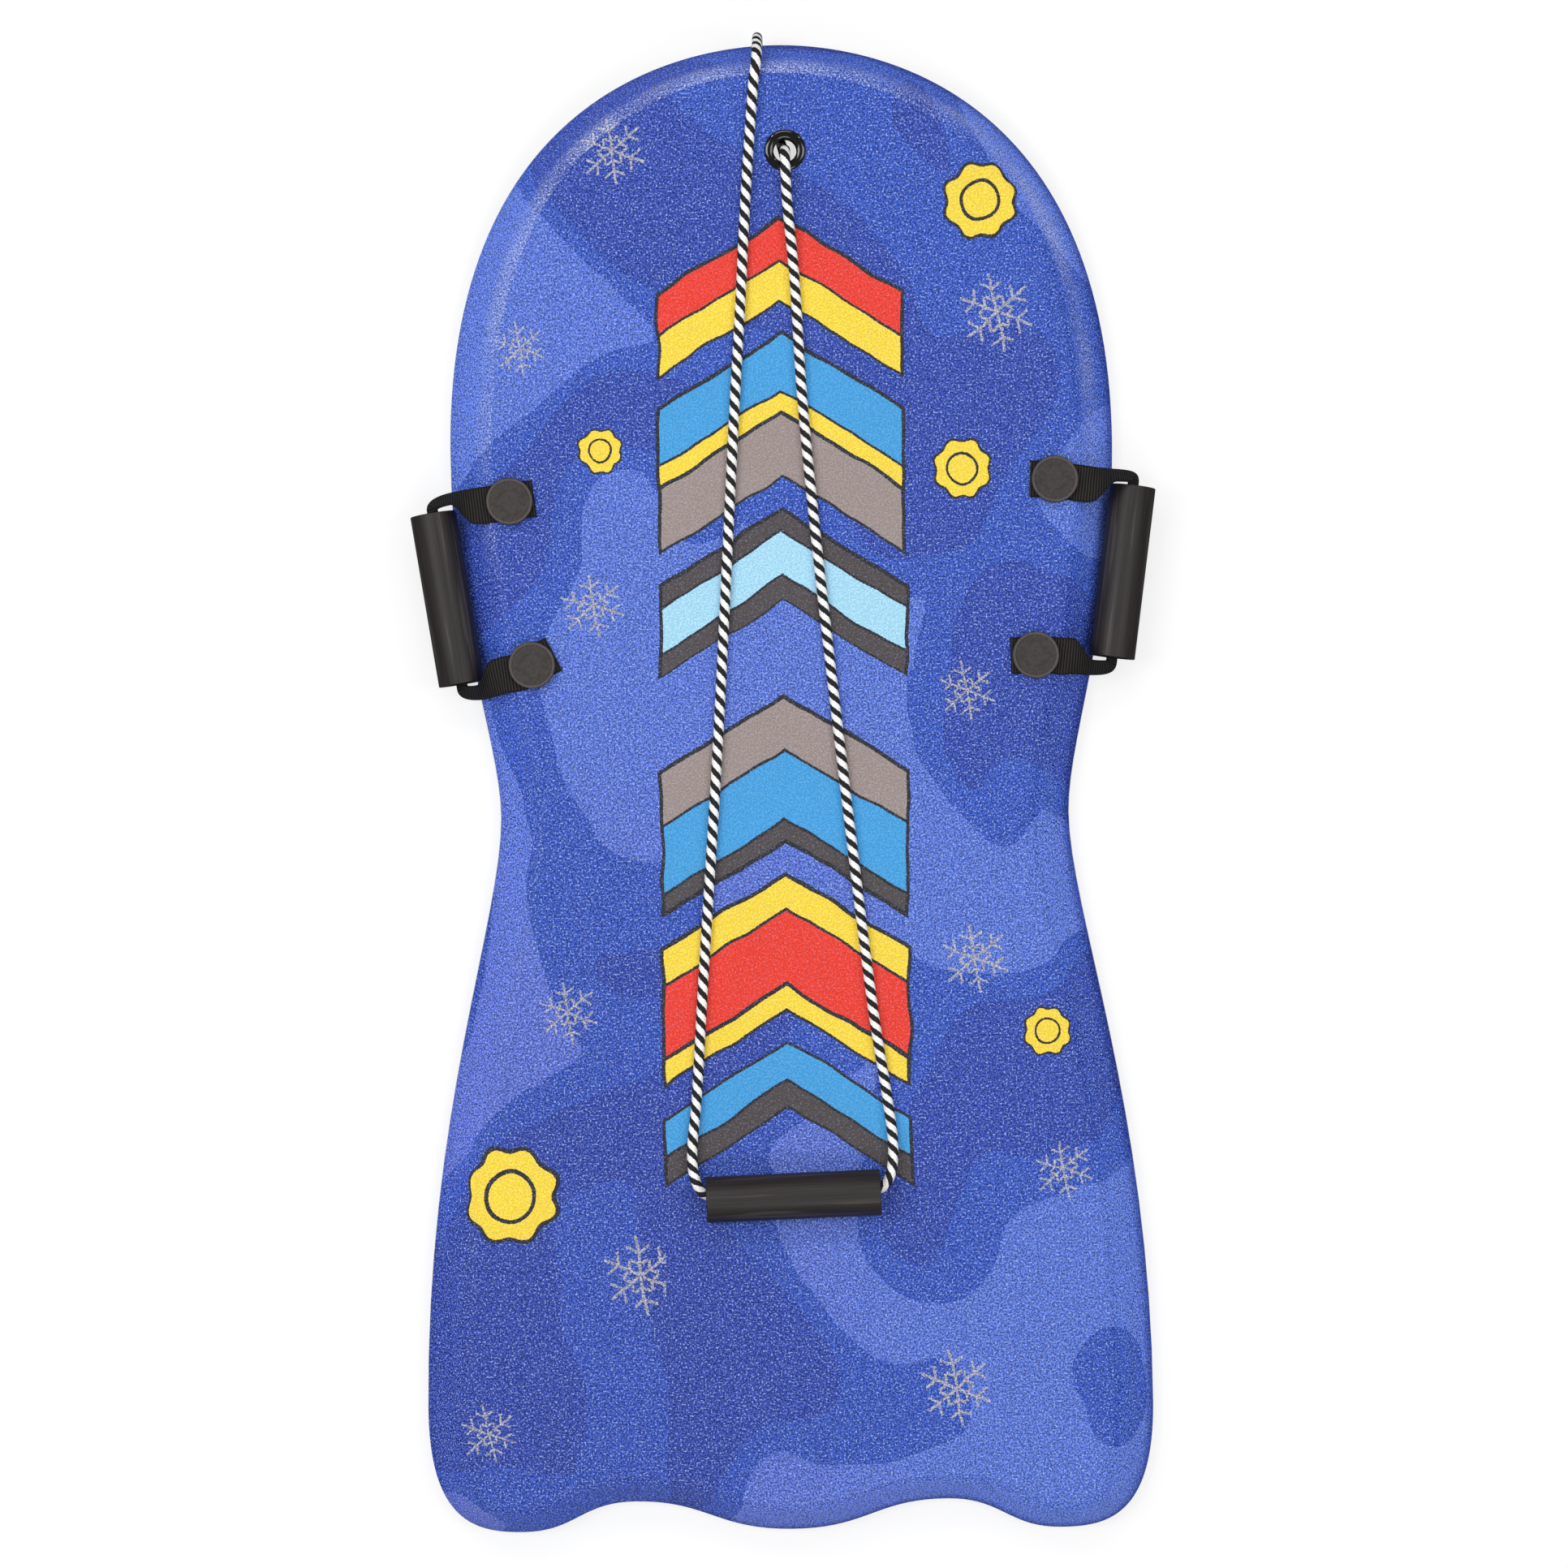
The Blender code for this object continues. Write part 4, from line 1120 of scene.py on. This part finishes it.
def arm_stations(handle, number, along, end, into_grip):
    """Places along one arm of the webbing from the hinge line to the grip: centre, width, heading.

    The edge away from the handle's middle is drawn first. The webbing leans up about it and gathers a
    little where it goes into the grip.
    """
    inward = Vector((math.copysign(1.0, into_grip.x), 0, 0))
    outward = Vector((-into_grip.y, into_grip.x, 0)) * inward.x
    half = WEB_WIDTH / 2
    start = Vector((along + handle["slides"][number], BUTTON_RADIUS + HINGE_OFFSET, WEB_LIE))
    start -= inward * half
    way = Matrix.Rotation(handle["leave_turns"][number], 3, "Z")
    leave = start + way @ Vector((0, handle["runs"][number], 0))
    last = end + outward * (half * MOUTH_SHARE * math.cos(ARM_LEAN))
    arrive = last - into_grip * handle["bulges"][number]
    stations = []
    before = start
    gone = 0
    for step in range(ARM_STEPS + 1):
        share = step / ARM_STEPS
        edge, heading = cubic(start, leave, arrive, last, share)
        gone += (edge - before).length
        before = edge
        turn = ARM_LEAN * smooth_step((gone - ARM_FLAT) / ARM_TWIST)
        gathered = 1 - (1 - MOUTH_SHARE) * smooth_step(share)
        level = Vector((heading.y, -heading.x, 0)).normalized() * inward.x
        level = inward.lerp(level, smooth_step(share / ARM_SQUARE_SHARE)).normalized()
        width = level * math.cos(turn) + Vector((0, 0, math.sin(turn)))
        centre = edge + level * (half * gathered * math.cos(turn))
        stations.append((centre, width * gathered, heading))
    return stations


def strap_section():
    """(across, through) points round the webbing, with rounded edges."""
    half, thick = WEB_WIDTH / 2, WEB_THICKNESS / 2
    result = []
    for centre, start in ((half - thick, -90), (-half + thick, 90)):
        for step in range(WEB_EDGE_STEPS + 1):
            angle = math.radians(start + 180 * step / WEB_EDGE_STEPS)
            result.append((centre + thick * math.cos(angle), thick * math.sin(angle)))
        for share in (0.5, 0.0, -0.5):
            sign = 1 if start < 0 else -1
            result.append((sign * share * (half - thick), sign * thick))
    return result


def make_strap(label, handle, finish):
    """One length of webbing: from under one button, through the grip and back under the other."""
    at, half_span = handle_frame(handle)
    axis = Vector((math.cos(handle["yaw"]), math.sin(handle["yaw"]), 0))
    middle = grip_middle(handle)
    inside = axis * (GRIP_LENGTH / 2 + ARM_LEAD)
    stations = tab_stations(handle, 0, -half_span, axis)
    stations += arm_stations(handle, 0, -half_span, middle - inside, axis)
    back = tab_stations(handle, 1, half_span, -axis)
    back += arm_stations(handle, 1, half_span, middle + inside, -axis)
    stations += [(centre, width, -heading) for centre, width, heading in reversed(back)]
    shape = strap_section()
    rings = []
    lengths = [0.0]
    for number, (centre, width, heading) in enumerate(stations):
        face = width.cross(heading).normalized()
        if number:
            lengths.append(lengths[-1] + (centre - stations[number - 1][0]).length)
        rings.append([at @ (centre + width * across + face * through) for across, through in shape])
    around = [across for across, _ in shape + shape[:1]]
    strap = swept(label + "_webbing", rings, lengths, around, finish)
    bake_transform(strap)
    nodes = [label + "_strap_loop"] + [label + "_" + end + "_strap_tab" for end in handle["order"]]
    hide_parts(*nodes)


def grip_lie(turn):
    """Lays a grip down along X, then turns it on the deck."""
    return Matrix.Rotation(turn, 4, "Z") @ Matrix.Rotation(math.pi / 2, 4, "Y")


def make_handles(button_finish, grip_finish, web_finish):
    for label, handle in HANDLES.items():
        at, half_span = handle_frame(handle)
        for along, end in zip((-half_span, half_span), handle["order"]):
            spot = at @ Matrix.Translation((along, 0, 0))
            make_button(label + "_" + end, spot, button_finish)
        place = at @ Matrix.Translation(grip_middle(handle)) @ grip_lie(handle["yaw"])
        make_grip(label + "_hand_grip", place, label + "_grip_tube", label + "_grip", grip_finish)
        make_strap(label, handle, web_finish)


def make_tow_grip(finish):
    place = Matrix.Translation((TOW[0], TOW[1], THICKNESS + GAP + GRIP_RADIUS)) @ grip_lie(TOW_TURN)
    make_grip("tow_hand_grip", place, "tow_grip_tube", "tow_grip", finish)


def make_floor():
    """A plain floor: white to the camera, and greyer where it lights the sled or shows in its gloss."""
    finish = Finish("studio_floor")
    seen = finish.node("ShaderNodeLightPath", out="Is Camera Ray")
    mirrored = finish.node("ShaderNodeLightPath", out="Is Glossy Ray")
    cloth = finish.blend_colours(mirrored, FLOOR_GREY, FLOOR_MIRRORED)
    cloth = finish.blend_colours(seen, cloth, WHITE)
    soft = finish.node("ShaderNodeBsdfDiffuse", None, {"Color": cloth})
    white = finish.node("ShaderNodeEmission", None, {"Color": WHITE, "Strength": 1.0})
    mixed = finish.node("ShaderNodeMixShader", None, {0: seen * 0.7, 1: soft, 2: white})
    finish.feed(finish.tree.nodes["Material Output"], {"Surface": mixed})
    finish.tree.nodes.remove(finish.shader)
    mesh = bpy.data.meshes.new("studio_floor")
    corners = [(-1, -1), (1, -1), (1, 1), (-1, 1)]
    mesh.from_pydata([(x * FLOOR_HALF, y * FLOOR_HALF, 0) for x, y in corners], [], [(0, 1, 2, 3)])
    mesh.materials.append(finish.material)
    new_object("studio_floor", mesh)


def make_world():
    """An even white dome, weaker on the sled than it shows behind it."""
    world = bpy.data.worlds.new("studio_world")
    world.use_nodes = True
    dome = Nodes(world.node_tree)
    seen = dome.node("ShaderNodeLightPath", out="Is Camera Ray")
    strength = dome.node("ShaderNodeMapRange", None, {0: seen, "To Min": DOME_LIGHT, "To Max": 1.0})
    dome.feed(dome.tree.nodes["Background"], {"Color": WHITE, "Strength": strength})
    bpy.context.scene.world = world


def soft_lamp(name, place, target, size, power):
    lamp = bpy.data.lights.new(name, "AREA")
    lamp.shape = "RECTANGLE"
    lamp.size, lamp.size_y = size
    lamp.energy = power
    obj = new_object(name, lamp)
    obj.location = place
    obj.rotation_euler = (Vector(target) - Vector(place)).to_track_quat("-Z", "Y").to_euler()


def light_studio():
    make_world()
    for name, lamp in LAMPS.items():
        soft_lamp(name, *lamp)


def dress_cad_nodes(finishes):
    """Gives the solids that stay in view their finish."""
    for name, finish in finishes.items():
        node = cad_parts[name]
        for slot in node.material_slots:
            slot.material = finish


set_camera()
OUTLINE = half_outline()
ROPE = striped_rope()
make_rope(ROPE)
GLOSS = gloss_black()
GRIP = extruded_grip()
make_board(deck_print(), running_sheet())
make_eyelet(GLOSS)
make_handles(matte_button(), GRIP, ribbed_webbing())
make_tow_grip(GRIP)
ANCHORS = [side + "_" + end + "_anchor" for side in ("left", "right") for end in ("front", "rear")]
dress_cad_nodes({name: GLOSS for name in ANCHORS + ["eyelet_bottom"]})
dress_cad_nodes({"foam_core": closed_foam(), "tow_knot": ROPE})
make_floor()
light_studio()
bpy.context.scene.view_settings.view_transform = "Standard"
